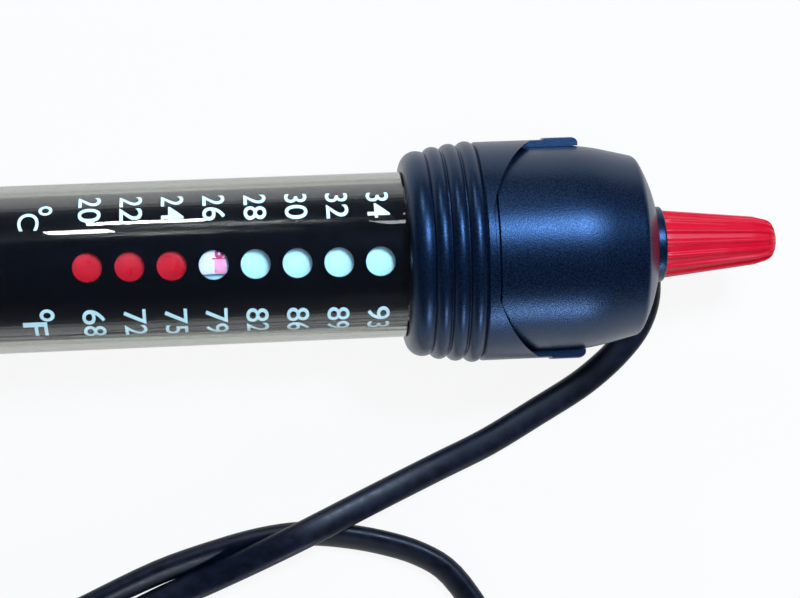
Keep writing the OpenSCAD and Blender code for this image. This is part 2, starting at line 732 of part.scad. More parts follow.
module neutral_lead() color([0.2, 0.35, 0.7]) in_frame() wire([
    [gland_face + 0.3, gland_hole_y + 1.2, gland_hole_z], [gland_face - 2.5, 3.6, gland_hole_z + 0.2],
    [gland_face - 7, 5, -8.8], [gland_face - 11, 6.2, -7], [gland_face - 15, wire_y, wire_z - 0.1],
    [gland_face - 20, wire_y, wire_z], [rail_back, wire_y, wire_z], [shield_x - 1, wire_y, wire_z],
    [front_nut_x + 0.4, 6, wire_z + 0.4], [front_nut_x, 4.2, -3.9], [front_nut_x - 0.05, 1.3, -1.2]
], wire_r);

module load_lead() color([0.85, 0.82, 0.75]) in_frame() wire([
    [rear_terminal_x + 0.1, -1, bed_top + 0.9], [rear_terminal_x - 2.5, -3.6, -8.9],
    [rear_terminal_x - 4.6, -wire_y, wire_z - 0.4], [rail_back, -wire_y, wire_z],
    [shield_x + 4, -wire_y, wire_z],
    [core_front - 0.6, -wire_y, wire_z], [core_front - 2.4, -5, -7.8], [coil_front, -1.6, -coil_r - 0.5],
    [coil_front - 0.2, 0, -coil_r - 0.6]
], wire_r);

module return_lead() color([0.85, 0.82, 0.75]) in_frame() wire([
    [coil_back + 0.2, 0, -coil_r - 0.6], [core_back + 1, 0, -coil_r - 0.6],
    [core_back - spacer_t + 0.2, 0, -coil_r - 0.3],
    [rear_nut_x + 0.3, 0, -7.8], [rear_nut_x + 0.1, 0, -5.6], [rear_nut_x, 0, -2]
], wire_r);

// ---- Lamp and heating element ----

module lamp_board() color([0.85, 0.82, 0.7]) in_frame()
    block([board_back, -board_w / 2, -board_t / 2], [rear_carrier_x, board_w / 2, board_t / 2]);

module neon_lamp() color([0.95, 0.6, 0.4]) in_frame()
    translate([board_back + lamp_inset, 0, board_t / 2 + lamp_r + lamp_rise]) {
        rotate([0, 90, 0]) cylinder(h = lamp_len, r = lamp_r, $fn = 48);
        sphere(lamp_r, $fn = 48);
        for (side = [-1, 1]) translate([lamp_len - 0.5, side * 1.1, -lamp_r - lamp_rise])
            cylinder(h = lamp_r + 1, r = leg_r, $fn = 16);
    }

module lamp_resistor() color([0.8, 0.7, 0.5]) in_frame()
    translate([board_back + lamp_inset, 0, -board_t / 2 - resistor_drop]) {
        whole = resistor_len + 2 * resistor_leg;
        translate([resistor_leg, 0, 0]) rotate([0, 90, 0]) cylinder(h = resistor_len, r = resistor_r, $fn = 32);
        rotate([0, 90, 0]) cylinder(h = whole, r = leg_r, $fn = 16);
        for (x = [leg_r, whole - leg_r]) translate([x, 0, 0]) cylinder(h = resistor_drop, r = leg_r, $fn = 16);
    }

module heat_shield() color([0.85, 0.8, 0.65]) in_frame() difference() {
    disc(shield_x, inner_r, shield_t);
    lead_holes(shield_x - 1, shield_t + 2, wire_r + lead_gap);
}

module core_spacers() color([0.9, 0.9, 0.86]) in_frame()
    for (x = [core_front, core_back - spacer_t]) difference() {
        disc(x, inner_r, spacer_t);
        disc(x - 1, rod_r + fit_gap, spacer_t + 2);
        for (w = [0, lead_angle, 180 - lead_angle, 180, 180 + lead_angle, -lead_angle]) rotate([w, 0, 0])
            translate([x - 1, 0, spacer_hole_y]) rotate([0, 90, 0])
                cylinder(h = spacer_t + 2, r = spacer_hole_r, $fn = 32);
    }

module ceramic_core() color([0.92, 0.9, 0.85]) in_frame() difference() {
    disc(core_back, core_r, core_len);
    disc(core_back - 1, rod_r + fit_gap, core_len + 2);
}

module heating_coil() color([0.55, 0.45, 0.38]) in_frame() {
    sweep([for (a = [0:coil_step:360 * coil_turns])
        [coil_front - (coil_front - coil_back) * a / (360 * coil_turns), coil_r * sin(a), -coil_r * cos(a), 0]],
        coil_wire_r, coil_wire_r, 6);
}

module core_rod() color([0.7, 0.7, 0.7]) in_frame()
    disc(rod_back, rod_r, rod_front - rod_back);

module core_nuts() color([0.75, 0.75, 0.72]) in_frame()
    for (x = [front_nut_x - nut_t / 2, rear_nut_x - nut_t / 2]) difference() {
        along_x(x) cylinder(h = nut_t, r = nut_r, $fn = 6);
        disc(x - 1, rod_r + fit_gap / 2, nut_t + 2);
    }

module end_pad() color([0.93, 0.92, 0.88]) in_frame() intersection() {
    translate([end_centre, 0, 0]) sphere(inner_r);
    disc(end_centre - tube_r, tube_r, rod_back - end_centre + tube_r);
}

// ---- Cord and plug ----

module cord_run() color([0.08, 0.1, 0.19])
    sweep(smooth(CORD_ROUTE, cord_steps), cord_w / 2, cord_t / 2, cord_sides);

module cord_hank() color([0.08, 0.1, 0.19]) translate([hank_x, hank_y, hank_rise]) linear_extrude(hank_h) {
    for (side = [-1, 1]) translate([side * hank_run / 2, 0]) circle(hank_r);
    square([hank_run, 2 * hank_r], center = true);
}

module cord_tie() color([0.85, 0.85, 0.83]) difference() {
    tie_body(hank_rise, 0);
    tie_body(0, 1);
}

module tie_body(grow, extra) {
    half = hank_r + fit_gap + grow;
    translate([hank_x - tie_w / 2 - extra, hank_y, hank_rise]) rotate([90, 0, 90])
        linear_extrude(tie_w + 2 * extra) translate([-half, -grow])
            square([2 * half, hank_h + 2 * grow + fit_gap]);
}

module cord_tail() color([0.08, 0.1, 0.19])
    sweep(smooth(TAIL_ROUTE, cord_steps), cord_w / 2, cord_t / 2, cord_sides);

module plug_body() color([0.08, 0.09, 0.13]) translate([plug_x, plug_y, plug_t / 2]) {
    intersection() {
        translate([0, 0, -plug_t / 2]) linear_extrude(plug_t) polygon([
            [-plug_len, -plug_w / 2 + 2], [-plug_len, plug_w / 2 - 2], [-plug_len + 2, plug_w / 2],
            [-plug_len + 13, plug_w / 2], [-plug_len + 22, plug_w / 2 - 5], [-4, 7], [0, 5.4],
            [0, -5.4], [-4, -7], [-plug_len + 22, -plug_w / 2 + 5], [-plug_len + 13, -plug_w / 2],
            [-plug_len + 2, -plug_w / 2]
        ]);
        rotate([90, 0, 0]) linear_extrude(plug_w + 2, center = true) polygon([
            [-plug_len, -plug_t / 2 + 0.8], [-plug_len + 0.8, -plug_t / 2], [-6, -plug_t / 2], [0, -4.8],
            [0, 4.8], [-6, plug_t / 2], [-plug_len + 0.8, plug_t / 2], [-plug_len, plug_t / 2 - 0.8]
        ]);
    }
    rotate([0, 90, 0]) cylinder(h = boot_len, r1 = boot_r, r2 = cord_w / 2 + 0.5, $fn = 48);
}

module plug_pins() color([0.85, 0.8, 0.6]) for (side = [-1, 1])
    translate([plug_x - plug_len, plug_y + side * pin_pitch / 2, plug_t / 2]) rotate([0, -90, 0]) {
        cylinder(h = pin_len - pin_tip, r = pin_d / 2 - sleeve_t);
        translate([0, 0, sleeve_len]) cylinder(h = pin_len - sleeve_len - pin_tip, r = pin_d / 2);
        translate([0, 0, pin_len - pin_tip]) cylinder(h = pin_tip, r1 = pin_d / 2, r2 = pin_d / 2 - pin_tip);
    }

module pin_sleeves() color([0.1, 0.1, 0.12]) for (side = [-1, 1])
    translate([plug_x - plug_len, plug_y + side * pin_pitch / 2, plug_t / 2]) rotate([0, -90, 0]) difference() {
        cylinder(h = sleeve_len, r = pin_d / 2 - sleeve_step);
        translate([0, 0, -1]) cylinder(h = sleeve_len + 2, r = pin_d / 2 - sleeve_t + 0.01);
    }

glass_tube();
collar();
head_shell();
cord_gland();
tube_gasket();
bung();
knob();
spindle();
spindle_clip();
shaft_seals();
seal_washer();
scale_film();
front_carrier();
rear_carrier();
guide_rails();
reflector();
indicator_slide();
indicator_tongue();
slide_yoke();
thermostat_bed();
cam();
contact_arm();
arm_pin();
arm_contact();
bimetal_strip();
bimetal_contact();
bimetal_post();
magnet();
terminals();
live_lead();
neutral_lead();
load_lead();
return_lead();
lamp_board();
neon_lamp();
lamp_resistor();
heat_shield();
core_spacers();
ceramic_core();
heating_coil();
core_rod();
core_nuts();
end_pad();
cord_run();
cord_hank();
cord_tie();
cord_tail();
plug_body();
plug_pins();
pin_sleeves();
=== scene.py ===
"""Submersible aquarium heater: the looks of its glass tube, scale, ribbed cap, fluted knob and cord.

Everything is in metres in the row's own frame. Sizes are written in millimetres and pass through MM.
"""
import math

import bmesh
import bpy
from mathutils import Matrix, Vector


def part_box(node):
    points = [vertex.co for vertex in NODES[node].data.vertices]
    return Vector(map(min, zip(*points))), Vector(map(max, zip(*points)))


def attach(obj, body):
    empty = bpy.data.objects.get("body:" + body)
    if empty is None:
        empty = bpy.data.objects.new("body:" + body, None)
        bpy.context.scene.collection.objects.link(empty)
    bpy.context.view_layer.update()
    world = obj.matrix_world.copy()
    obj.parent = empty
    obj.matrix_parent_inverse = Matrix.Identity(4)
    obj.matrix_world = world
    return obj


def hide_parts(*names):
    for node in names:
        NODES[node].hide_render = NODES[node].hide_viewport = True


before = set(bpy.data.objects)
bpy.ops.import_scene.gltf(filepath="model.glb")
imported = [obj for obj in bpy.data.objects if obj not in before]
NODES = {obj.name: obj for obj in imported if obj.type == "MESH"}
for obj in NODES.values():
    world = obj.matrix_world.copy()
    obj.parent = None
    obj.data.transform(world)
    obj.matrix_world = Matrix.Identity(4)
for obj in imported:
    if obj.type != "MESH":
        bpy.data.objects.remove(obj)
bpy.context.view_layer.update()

MM = 0.001

# ---- Driving sizes, in millimetres ----

MOUTH_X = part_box("collar")[0].x / MM                                   # the cap's mouth
AXIS_Z = (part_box("collar")[0].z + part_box("collar")[1].z) / 2 / MM      # height of the tube's axis
TUBE_R = 15.0
TUBE_WALL = 1.2
FILM_R = 13.0
CAP_LEN = 47.6
BOSS_R = 6.9
KNOB_LEN = 21.4
CORD_W = 5.4
CORD_T = 3.3


# ---- Materials ----

def srgb(code):
    """A colour written as an sRGB hex value, in the linear form that the shaders use."""
    parts = [int(code[i:i + 2], 16) / 255 for i in (1, 3, 5)]
    return (*[c / 12.92 if c <= 0.04045 else ((c + 0.055) / 1.055) ** 2.4 for c in parts], 1.0)


def add(tree, kind, inputs=None, **settings):
    """Adds a node with its settings. An input is a value, or the output socket that feeds it."""
    node = tree.nodes.new(kind)
    for name, value in settings.items():
        setattr(node, name, value)
    for name, value in (inputs or {}).items():
        if isinstance(value, bpy.types.NodeSocket):
            tree.links.new(value, node.inputs[name])
        else:
            node.inputs[name].default_value = value
    return node


def finish_of(name, **principled):
    """A new material with one Principled shader, whose inputs are named in plain words."""
    material = bpy.data.materials.new(name)
    material.use_nodes = True
    tree = material.node_tree
    tree.nodes.clear()
    shader = add(tree, "ShaderNodeBsdfPrincipled", principled)
    add(tree, "ShaderNodeOutputMaterial", {"Surface": shader.outputs[0]})
    return material, tree, shader


def place_in_mm(tree):
    """Where a point lies on the piece, in millimetres."""
    spot = add(tree, "ShaderNodeTexCoord")
    scale = add(tree, "ShaderNodeVectorMath", {0: spot.outputs["Object"], 1: (1 / MM,) * 3},
                operation="MULTIPLY")
    return scale.outputs[0]


def speckle(tree, size, detail=2.0, rough=0.6):
    """A fine irregular pattern with grains of the given size in millimetres."""
    return add(tree, "ShaderNodeTexNoise", {
        "Vector": place_in_mm(tree), "Scale": 1 / size, "Detail": detail, "Roughness": rough})


def between_colours(tree, factor, low, high, start=0.35, end=0.65):
    """Runs from one colour to the other as the factor goes from start to end."""
    ramp = add(tree, "ShaderNodeValToRGB", {"Fac": factor})
    ramp.color_ramp.elements[0].position = start
    ramp.color_ramp.elements[0].color = srgb(low)
    ramp.color_ramp.elements[1].position = end
    ramp.color_ramp.elements[1].color = srgb(high)
    return ramp.outputs[0]


def range_of(tree, value, low, high):
    """Spreads a pattern from 0.3 to 0.7 over the given range."""
    return add(tree, "ShaderNodeMapRange", {
        "Value": value, "From Min": 0.3, "From Max": 0.7, "To Min": low, "To Max": high}).outputs[0]


def relief(tree, height, depth):
    """A bump of the given depth in millimetres."""
    return add(tree, "ShaderNodeBump", {"Height": height, "Distance": depth * MM, "Strength": 1.0}).outputs[0]


GRAIN_SIZE = 0.28          # of the spark-eroded tool, in millimetres
GRAIN_DEPTH = 0.022
GRAIN_ROUGHNESS = (0.29, 0.4)
LINE_SIZE = 0.15           # across the fine lines of drawn metal, in millimetres
LINE_DEPTH = 0.008
ALONG_LINES = (0.08, 1, 1)     # stretches the pattern along X


def spark_eroded_polypropylene(name, dark, light):
    """Moulded in a spark-eroded tool: an even matt grain that breaks each highlight into sparkles."""
    material, tree, shader = finish_of(name, **{
        "IOR": 1.49, "Specular IOR Level": 0.8, "Specular Tint": srgb("#88BDFF")})
    grains = speckle(tree, GRAIN_SIZE, 1.5, 0.5)
    tree.links.new(between_colours(tree, grains.outputs[0], dark, light), shader.inputs["Base Color"])
    tree.links.new(range_of(tree, grains.outputs[0], *GRAIN_ROUGHNESS), shader.inputs["Roughness"])
    tree.links.new(relief(tree, grains.outputs[0], GRAIN_DEPTH), shader.inputs["Normal"])
    return material


def plain_moulding(name, dark, light, roughness, grain=0.6, depth=0.01, ior=1.5, shine=0.5):
    """Injection moulded: nearly even in colour, with the faint ripple of the tool."""
    material, tree, shader = finish_of(name, **{"IOR": ior, "Specular IOR Level": shine})
    ripple = speckle(tree, grain)
    tree.links.new(between_colours(tree, ripple.outputs[0], dark, light), shader.inputs["Base Color"])
    tree.links.new(range_of(tree, ripple.outputs[0], roughness * 0.85, roughness * 1.15),
                   shader.inputs["Roughness"])
    tree.links.new(relief(tree, ripple.outputs[0], depth), shader.inputs["Normal"])
    return material


def drawn_metal(name, dark, light, roughness):
    """Drawn or stamped metal: fine lines along the piece."""
    material, tree, shader = finish_of(name, **{"Metallic": 1.0})
    along = add(tree, "ShaderNodeVectorMath", {0: place_in_mm(tree), 1: ALONG_LINES},
                operation="MULTIPLY")
    lines = add(tree, "ShaderNodeTexNoise", {
        "Vector": along.outputs[0], "Scale": 1 / LINE_SIZE, "Detail": 3.0})
    tree.links.new(between_colours(tree, lines.outputs[0], dark, light), shader.inputs["Base Color"])
    tree.links.new(range_of(tree, lines.outputs[0], roughness * 0.7, roughness * 1.3),
                   shader.inputs["Roughness"])
    tree.links.new(relief(tree, lines.outputs[0], LINE_DEPTH), shader.inputs["Normal"])
    return material


def lets_lamps_through(material, tree, shader):
    """Lets the lamps' rays pass, as they do through a clear wall, to light what is inside."""
    rays = add(tree, "ShaderNodeLightPath")
    clear = add(tree, "ShaderNodeBsdfTransparent", {"Color": (0.93, 0.96, 0.94, 1)})
    both = add(tree, "ShaderNodeMixShader", {
        0: rays.outputs["Is Shadow Ray"], 1: shader.outputs[0], 2: clear.outputs[0]})
    tree.links.new(both.outputs[0], tree.nodes["Material Output"].inputs["Surface"])
    return material


def borosilicate_glass():
    """Drawn tube: clear face on, and grey-green at its rims: partly the glass's own green where one looks
    along the wall, partly painted shade for the darker room seen through the rims.
    """
    material, tree, shader = finish_of("drawn borosilicate glass", **{
        "Roughness": 0.0, "IOR": 1.473, "Transmission Weight": 1.0})
    # Painted shade: the rims turn grey-green as the wall is seen edge on. This is partly the glass's own
    # green along the wall, and partly painted shade for the darker room seen through the rims.
    rim = add(tree, "ShaderNodeLayerWeight", {"Blend": 0.5})
    wall_green_and_rim_shade = between_colours(tree, rim.outputs["Facing"], "#FAFDFB", "#6A6E64", 0.4, 0.6)
    tree.links.new(wall_green_and_rim_shade, shader.inputs["Base Color"])
    return lets_lamps_through(material, tree, shader)


def soda_glass():
    """Blown lamp capsule: thin and clear, with the orange cast of the gas."""
    return lets_lamps_through(*finish_of("blown soda glass", **{
        "Base Color": srgb("#F6C9A4"), "Roughness": 0.02, "IOR": 1.52, "Transmission Weight": 0.9}))


GLASS = borosilicate_glass()
CAP = spark_eroded_polypropylene("spark-eroded polypropylene", "#04080F", "#0B1830")
HEAD = spark_eroded_polypropylene("spark-eroded polypropylene, head", "#04080F", "#0B1830")
KNOB = plain_moulding("moulded ABS, red", "#E6112E", "#EA1533", 0.34, 3.0, 0.001, 1.53, 0.2)
FILM = plain_moulding("printed polyester film, black", "#02040A", "#04070F", 0.14, 3.0, 0.002, 1.22)
INK = plain_moulding("screen-printed ink, white", "#D6F2F6", "#E2FAFB", 0.5, 0.4, 0.004)
WHITE = plain_moulding("moulded nylon, white", "#E4E4DE", "#EFEEE9", 0.45)
REFLECTOR = plain_moulding("moulded polystyrene, bright white", "#C4F2F9", "#CCF5FB", 0.3, 2.0, 0.004)
RED = plain_moulding("moulded polystyrene, red", "#BE0C20", "#C40E24", 0.3, 3.0, 0.002)
LILAC = plain_moulding("moulded polystyrene, lilac white", "#DDD6F2", "#E6E0F8", 0.3, 2.0, 0.004)
MAGENTA = plain_moulding("screen-printed ink, magenta", "#B8104E", "#C4185A", 0.5, 0.4, 0.004)
PINK = plain_moulding("screen-printed ink, pink", "#EE8FB2", "#F49CBC", 0.5, 0.4, 0.004)
SEAL = plain_moulding("moulded silicone, black", "#101114", "#1C1D21", 0.5)
GLAND = plain_moulding("moulded soft PVC", "#0A1020", "#101A30", 0.45, 0.5, 0.02)
PHENOLIC = plain_moulding("moulded phenolic", "#5A3A22", "#7A5233", 0.42, 0.4)
STEEL = drawn_metal("drawn stainless steel", "#A6A7A5", "#CFCFCC", 0.25)
BRASS = drawn_metal("stamped brass", "#B58A45", "#D9B36A", 0.3)
SILVER = drawn_metal("turned silver alloy", "#C8C8C5", "#E6E5E2", 0.25)
BIMETAL = drawn_metal("rolled bimetal", "#8D8473", "#B3AA97", 0.32)
NICHROME = drawn_metal("oxidised nichrome wire", "#3E332D", "#6B5A4E", 0.5)
FERRITE = plain_moulding("ground ferrite", "#26272A", "#3D3E42", 0.55)
BROWN = plain_moulding("extruded PVC, brown", "#5A2E16", "#743E20", 0.4)
BLUE = plain_moulding("extruded PVC, blue", "#1F4FA0", "#2C66C2", 0.4)
SLEEVE = plain_moulding("woven glass sleeving", "#CFC7B2", "#EAE4D4", 0.8, 0.25, 0.06)
MICA = plain_moulding("pressed mica", "#B8A273", "#D8C79C", 0.45, 1.2, 0.03)
RESISTOR = plain_moulding("lacquered ceramic", "#C2A87A", "#D9C196", 0.35)
CERAMIC = plain_moulding("unglazed steatite", "#DCD6C8", "#EDE8DC", 0.75, 0.3, 0.02)
FIBRE = plain_moulding("ceramic fibre felt", "#D9D5CA", "#F3F0E8", 0.95, 0.5, 0.25)
SHEATH = plain_moulding("extruded PVC sheath", "#060B18", "#0A1226", 0.42, 2.0, 0.006, 1.52, 0.35)
STRAP = plain_moulding("woven hook-and-loop strap", "#BDBCB6", "#E2E1DB", 0.9, 0.3, 0.1)
PLUG = plain_moulding("moulded PVC, plug", "#0A0E18", "#141B2B", 0.4, 0.3, 0.02)
NEON = soda_glass()

DRESS = {
    "glass_tube": GLASS, "collar": CAP, "head_shell": HEAD, "cord_gland": GLAND, "tube_gasket": SEAL,
    "bung": SEAL, "knob": KNOB, "spindle": STEEL, "spindle_clip": BRASS, "shaft_seals": SEAL,
    "seal_washer": STEEL, "scale_film": FILM, "front_carrier": WHITE, "rear_carrier": WHITE,
    "guide_rails": WHITE, "reflector": REFLECTOR, "indicator_slide": RED, "indicator_tongue": LILAC,
    "slide_yoke": WHITE, "thermostat_bed": PHENOLIC, "cam": WHITE, "contact_arm": BRASS, "arm_pin": STEEL,
    "arm_contact": SILVER, "bimetal_strip": BIMETAL, "bimetal_contact": SILVER, "bimetal_post": BRASS,
    "magnet": FERRITE, "terminals": BRASS, "live_lead": BROWN, "neutral_lead": BLUE, "load_lead": SLEEVE,
    "return_lead": SLEEVE, "lamp_board": MICA, "neon_lamp": NEON, "lamp_resistor": RESISTOR,
    "heat_shield": MICA, "core_spacers": CERAMIC, "ceramic_core": CERAMIC, "heating_coil": NICHROME,
    "core_rod": STEEL, "core_nuts": STEEL, "end_pad": FIBRE, "cord_run": SHEATH, "cord_hank": SHEATH,
    "cord_tie": STRAP, "cord_tail": SHEATH, "plug_body": PLUG, "plug_pins": BRASS, "pin_sleeves": PLUG,
}
WELD = 0.0000005                     # points closer than this, in metres, are one
SMOOTH_BELOW = math.radians(32)      # edges flatter than this are shaded as one surface

for node_name, finish in DRESS.items():
    solid = NODES[node_name].data
    solid.materials.clear()
    solid.materials.append(finish)
    solid.polygons.foreach_set("use_smooth", [True] * len(solid.polygons))
    solid.set_sharp_from_angle(angle=SMOOTH_BELOW)


# ---- Making pieces ----

def piece(name, points, faces, material, body, slot, replaces=()):
    """A smooth mesh piece from points in millimetres, which rides on a body."""
    mesh = bpy.data.meshes.new(name)
    mesh.from_pydata([Vector(p) * MM for p in points], [], faces)
    made = bpy.data.objects.new(name, mesh)
    bpy.context.scene.collection.objects.link(made)
    mesh.materials.append(material)
    shaped = bmesh.new()
    shaped.from_mesh(mesh)
    bmesh.ops.remove_doubles(shaped, verts=shaped.verts, dist=WELD)
    bmesh.ops.recalc_face_normals(shaped, faces=shaped.faces)
    shaped.to_mesh(mesh)
    shaped.free()
    mesh.polygons.foreach_set("use_smooth", [True] * len(mesh.polygons))
    mesh.set_sharp_from_angle(angle=SMOOTH_BELOW)
    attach(made, body)
    if replaces:
        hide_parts(*replaces)
    return made


def about_axis(x, radius, angle):
    """A point of the row's frame: x from the cap's mouth, the angle in degrees from the top towards +Y."""
    w = math.radians(angle)
    return MOUTH_X + x, radius * math.sin(w), AXIS_Z + radius * math.cos(w)


def skin(rows, columns, round_rows=False, round_columns=True):
    """Faces over a grid of points, which closes on itself along its rows or its columns."""
    faces = []
    for i in range(rows if round_rows else rows - 1):
        for k in range(columns if round_columns else columns - 1):
            i2, k2 = (i + 1) % rows, (k + 1) % columns
            faces.append((i * columns + k, i * columns + k2, i2 * columns + k2, i2 * columns + k))
    return faces


def arc(centre, radius, start, end, steps=8):
    """Points of an arc in (x, radius), with its angles in degrees."""
    turns = [math.radians(start + (end - start) * i / steps) for i in range(steps + 1)]
    return [(centre[0] + radius * math.cos(w), centre[1] + radius * math.sin(w)) for w in turns]


def turned(name, profile, material, body, slot, replaces=(), sides=128, ring=False):
    """A piece revolved about the axis from (x, radius) points. A ring's profile closes on itself."""
    points = [about_axis(x, r, 360 * k / sides) for x, r in profile for k in range(sides)]
    return piece(name, points, skin(len(profile), sides, ring), material, body, slot, replaces)


def end_faces(sides, count):
    """The faces that close the first and the last ring of count points."""
    return [tuple(range(sides - 1, -1, -1)), tuple(range(count - sides, count))]


def tube_skin(route, section, sides):
    """Points and faces of a closed tube along a route.

    section(i, angle) gives a point of its outline, across and over. A route point may have a roll in degrees.
    """
    points = []
    for i, here in enumerate(route):
        ahead, behind = Vector(route[min(i + 1, len(route) - 1)][:3]), Vector(route[max(i - 1, 0)][:3])
        heading = (ahead - behind).normalized()
        level = Vector((0, 0, 1)) if abs(heading.z) < 0.95 else Vector((1, 0, 0))
        side = heading.cross(level).normalized()
        up = side.cross(heading)
        w = math.radians(here[3]) if len(here) > 3 else 0
        across = side * math.cos(w) + up * math.sin(w)
        over = up * math.cos(w) - side * math.sin(w)
        for k in range(sides):
            u, v = section(i, 2 * math.pi * k / sides)
            points.append(Vector(here[:3]) + across * u + over * v)
    return points, skin(len(route), sides) + end_faces(sides, len(points))


def wire(name, route, radius, material, slot, replaces, sides=14):
    """A round wire along a route given from the cap's mouth and the axis."""
    placed = [(MOUTH_X + x, y, AXIS_Z + z) for x, y, z in route]
    points, faces = tube_skin(placed, lambda i, w: (radius * math.cos(w), radius * math.sin(w)), sides)
    return piece(name, points, faces, material, "heater", slot, replaces)


# ---- The cord: where it lies, in millimetres, and the roll of its wide side in degrees ----

CORD_ROUTE = [
    (135.2, -5.2, 7.6, 0), (135.4, -9.3, 5.6, 0), (134.7, -12.8, 4.1, 0), (133.2, -16, 3, 0),
    (130.8, -19, 2.3, 0), (127.2, -22.4, 1.9, 0), (122, -26.2, 1.7, 0), (114, -30.7, 1.7, 0),
    (104.3, -36, 1.7, 0), (95, -40.1, 1.7, 0), (86, -44, 2.6, 0), (77, -47.8, 4.9, 0),
    (68, -51.7, 6.4, 0), (59, -55.7, 5, 0), (50, -59.6, 2.7, 0), (41, -63.2, 1.8, 0),
    (32, -67.6, 1.7, 0), (24, -74, 1.7, 0), (20, -83, 1.7, 4), (21.5, -93, 1.8, 8),
    (28, -101.5, 1.9, 14), (38, -107.5, 2, 20), (50, -111, 2.1, 26), (63, -112.5, 2.2, 32),
    (77, -111.5, 2.2, 36), (90, -107.5, 2.3, 40), (100, -100, 2.3, 43), (105.5, -90, 2.3, 43),
    (106, -79, 2.3, 43), (102.5, -70.5, 2.3, 43), (96.4, -61, 2.3, 43), (90.5, -56.7, 2.3, 43),
    (83, -54, 2.3, 43), (75, -52.3, 2.3, 43), (68, -51.7, 2.3, 43), (60.5, -52.4, 2.3, 43),
    (52, -54.3, 2.3, 43), (41, -57.6, 2.3, 43), (27.4, -63.2, 2.4, 52), (15, -68.5, 2.6, 64),
    (3, -73.2, 2.9, 78), (-9, -77.2, 3.2, 90), (-22.5, -79.5, 3.3, 90),
]
TAIL_ROUTE = [(-62, -79.5, 8.9, 90), (-74, -78.5, 8.6, 60), (-84, -77, 7.6, 25), (-94, -76, 6.9, 0)]
HANK_CENTRE = (-43, -56)
HANK_HALF_RUN = 20.5
LOWER_Z = 3.3
UPPER_Z = 8.9
# Each turn's radius on the near side, on the far side and where it ends, and its height before and after
HANK_TURNS = [
    (23.5, 23.5, 20, LOWER_Z, LOWER_Z), (20, 20, 16.5, LOWER_Z, LOWER_Z),
    (16.5, 16.5, 16.5, LOWER_Z, UPPER_Z),
    (16.5, 20, 20, UPPER_Z, UPPER_Z), (20, 23.5, 23.5, UPPER_Z, UPPER_Z),
]
FOLD_STEPS = 12


def eased(t):
    """Goes from 0 to 1 without a kink at either end."""
    t = min(max(t, 0), 1)
    return t * t * (3 - 2 * t)


def hank_route():
    """The folded turns: along the near side, round the left fold, back along the far side, round the right.

    The lower layer winds inwards, the third turn climbs along its far side, and the upper winds outwards.
    """
    cx, cy = HANK_CENTRE
    route = []
    for near, far, end, low, high in HANK_TURNS:
        for step in range(1, 4):
            route.append((cx + HANK_HALF_RUN * (1 - step / 1.5), cy - near, low, 90))
        for step in range(1, FOLD_STEPS):
            t = step / FOLD_STEPS
            w = math.radians(-90 - 180 * t)
            r = near + (far - near) * eased(t)
            route.append((cx - HANK_HALF_RUN + r * math.cos(w), cy + r * math.sin(w), low, 90))
        for step in range(5):
            t = step / 4
            z = low + (high - low) * eased(t)
            route.append((cx + HANK_HALF_RUN * (2 * t - 1), cy + far, z, 90))
        for step in range(1, FOLD_STEPS + 1):
            t = step / FOLD_STEPS
            w = math.radians(90 - 180 * t)
            r = far + (end - far) * eased(t)
            route.append((cx + HANK_HALF_RUN + r * math.cos(w), cy + r * math.sin(w), high, 90))
    near_side = cy - HANK_TURNS[-1][2]
    leaving = [(cx + HANK_HALF_RUN * t / 3, near_side, UPPER_Z, 90) for t in (1, -1)]
    return route + leaving


def through(a, b, c, d, t):
    """A point of the smooth curve through four route points."""
    return tuple(
        0.5 * (2 * q + (r - p) * t + (2 * p - 5 * q + 4 * r - s) * t * t + (3 * q - p - 3 * r + s) * t ** 3)
        for p, q, r, s in zip(a, b, c, d))


def smooth(route, steps):
    """The route with steps points for each of its own."""
    n = len(route)
    fine = [through(route[max(i - 1, 0)], route[i], route[i + 1], route[min(i + 2, n - 1)], k / steps)
            for i in range(n - 1) for k in range(steps)]
    return fine + [route[-1]]


def flat_cord(name, route, wide, thick, sides, material):
    """A flat two-core cord: a squarish oval, flat on its wide faces and round at its edges."""
    def section(i, w):
        c, s = math.cos(w), math.sin(w)
        return math.copysign(abs(c) ** 0.75, c) * wide / 2, math.copysign(abs(s) ** 0.85, s) * thick / 2
    points, faces = tube_skin(route, section, sides)
    return piece(name, points, faces, material, "heater", "cord_sheath",
                 ("cord_run", "cord_hank", "cord_tail"))


# ---- Glass and knob ----

def joined(*parts):
    """Several sets of points and faces as one."""
    points, faces = [], []
    for more_points, more_faces in parts:
        faces += [tuple(i + len(points) for i in face) for face in more_faces]
        points += list(more_points)
    return points, faces


def revolved(profile, about, sides=64, ring=False):
    """Points and faces of a shape revolved about a line along X."""
    points = [about(x, r, 360 * k / sides) for x, r in profile for k in range(sides)]
    return points, skin(len(profile), sides, ring)


def line_at(y, z):
    """Places (x, radius, angle) about a line along X through y and z, with x in the row's frame."""
    def place(x, radius, angle):
        w = math.radians(angle)
        return x, y + radius * math.sin(w), z + radius * math.cos(w)
    return place


TUBE_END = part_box("glass_tube")[0].x / MM - MOUTH_X      # the tip of the closed end
TUBE_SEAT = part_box("glass_tube")[1].x / MM - MOUTH_X
SEAT_STEP = 0.25                                         # depth of the ground band that the cap grips
SEAT_EDGE = 0.3                                          # length of the slope down to the band
BORE_R = TUBE_R - TUBE_WALL
END_CENTRE = TUBE_END + TUBE_R
HALFWAY = -120                                           # a ring of points part of the way along the wall
LIP_R = 0.46                                             # the rounded rim at the open end

turned("drawn_tube",
       arc((END_CENTRE, 0), TUBE_R, 180, 90, 28)
       + [(HALFWAY, TUBE_R), (-SEAT_EDGE, TUBE_R), (0, TUBE_R - SEAT_STEP)]
       + arc((TUBE_SEAT - 0.45, BORE_R + 0.48), LIP_R, 90, -90, 8) + [(HALFWAY, BORE_R)]
       + arc((END_CENTRE, 0), BORE_R, 90, 180, 28),
       GLASS, "heater", "glass", ("glass_tube",), 160)

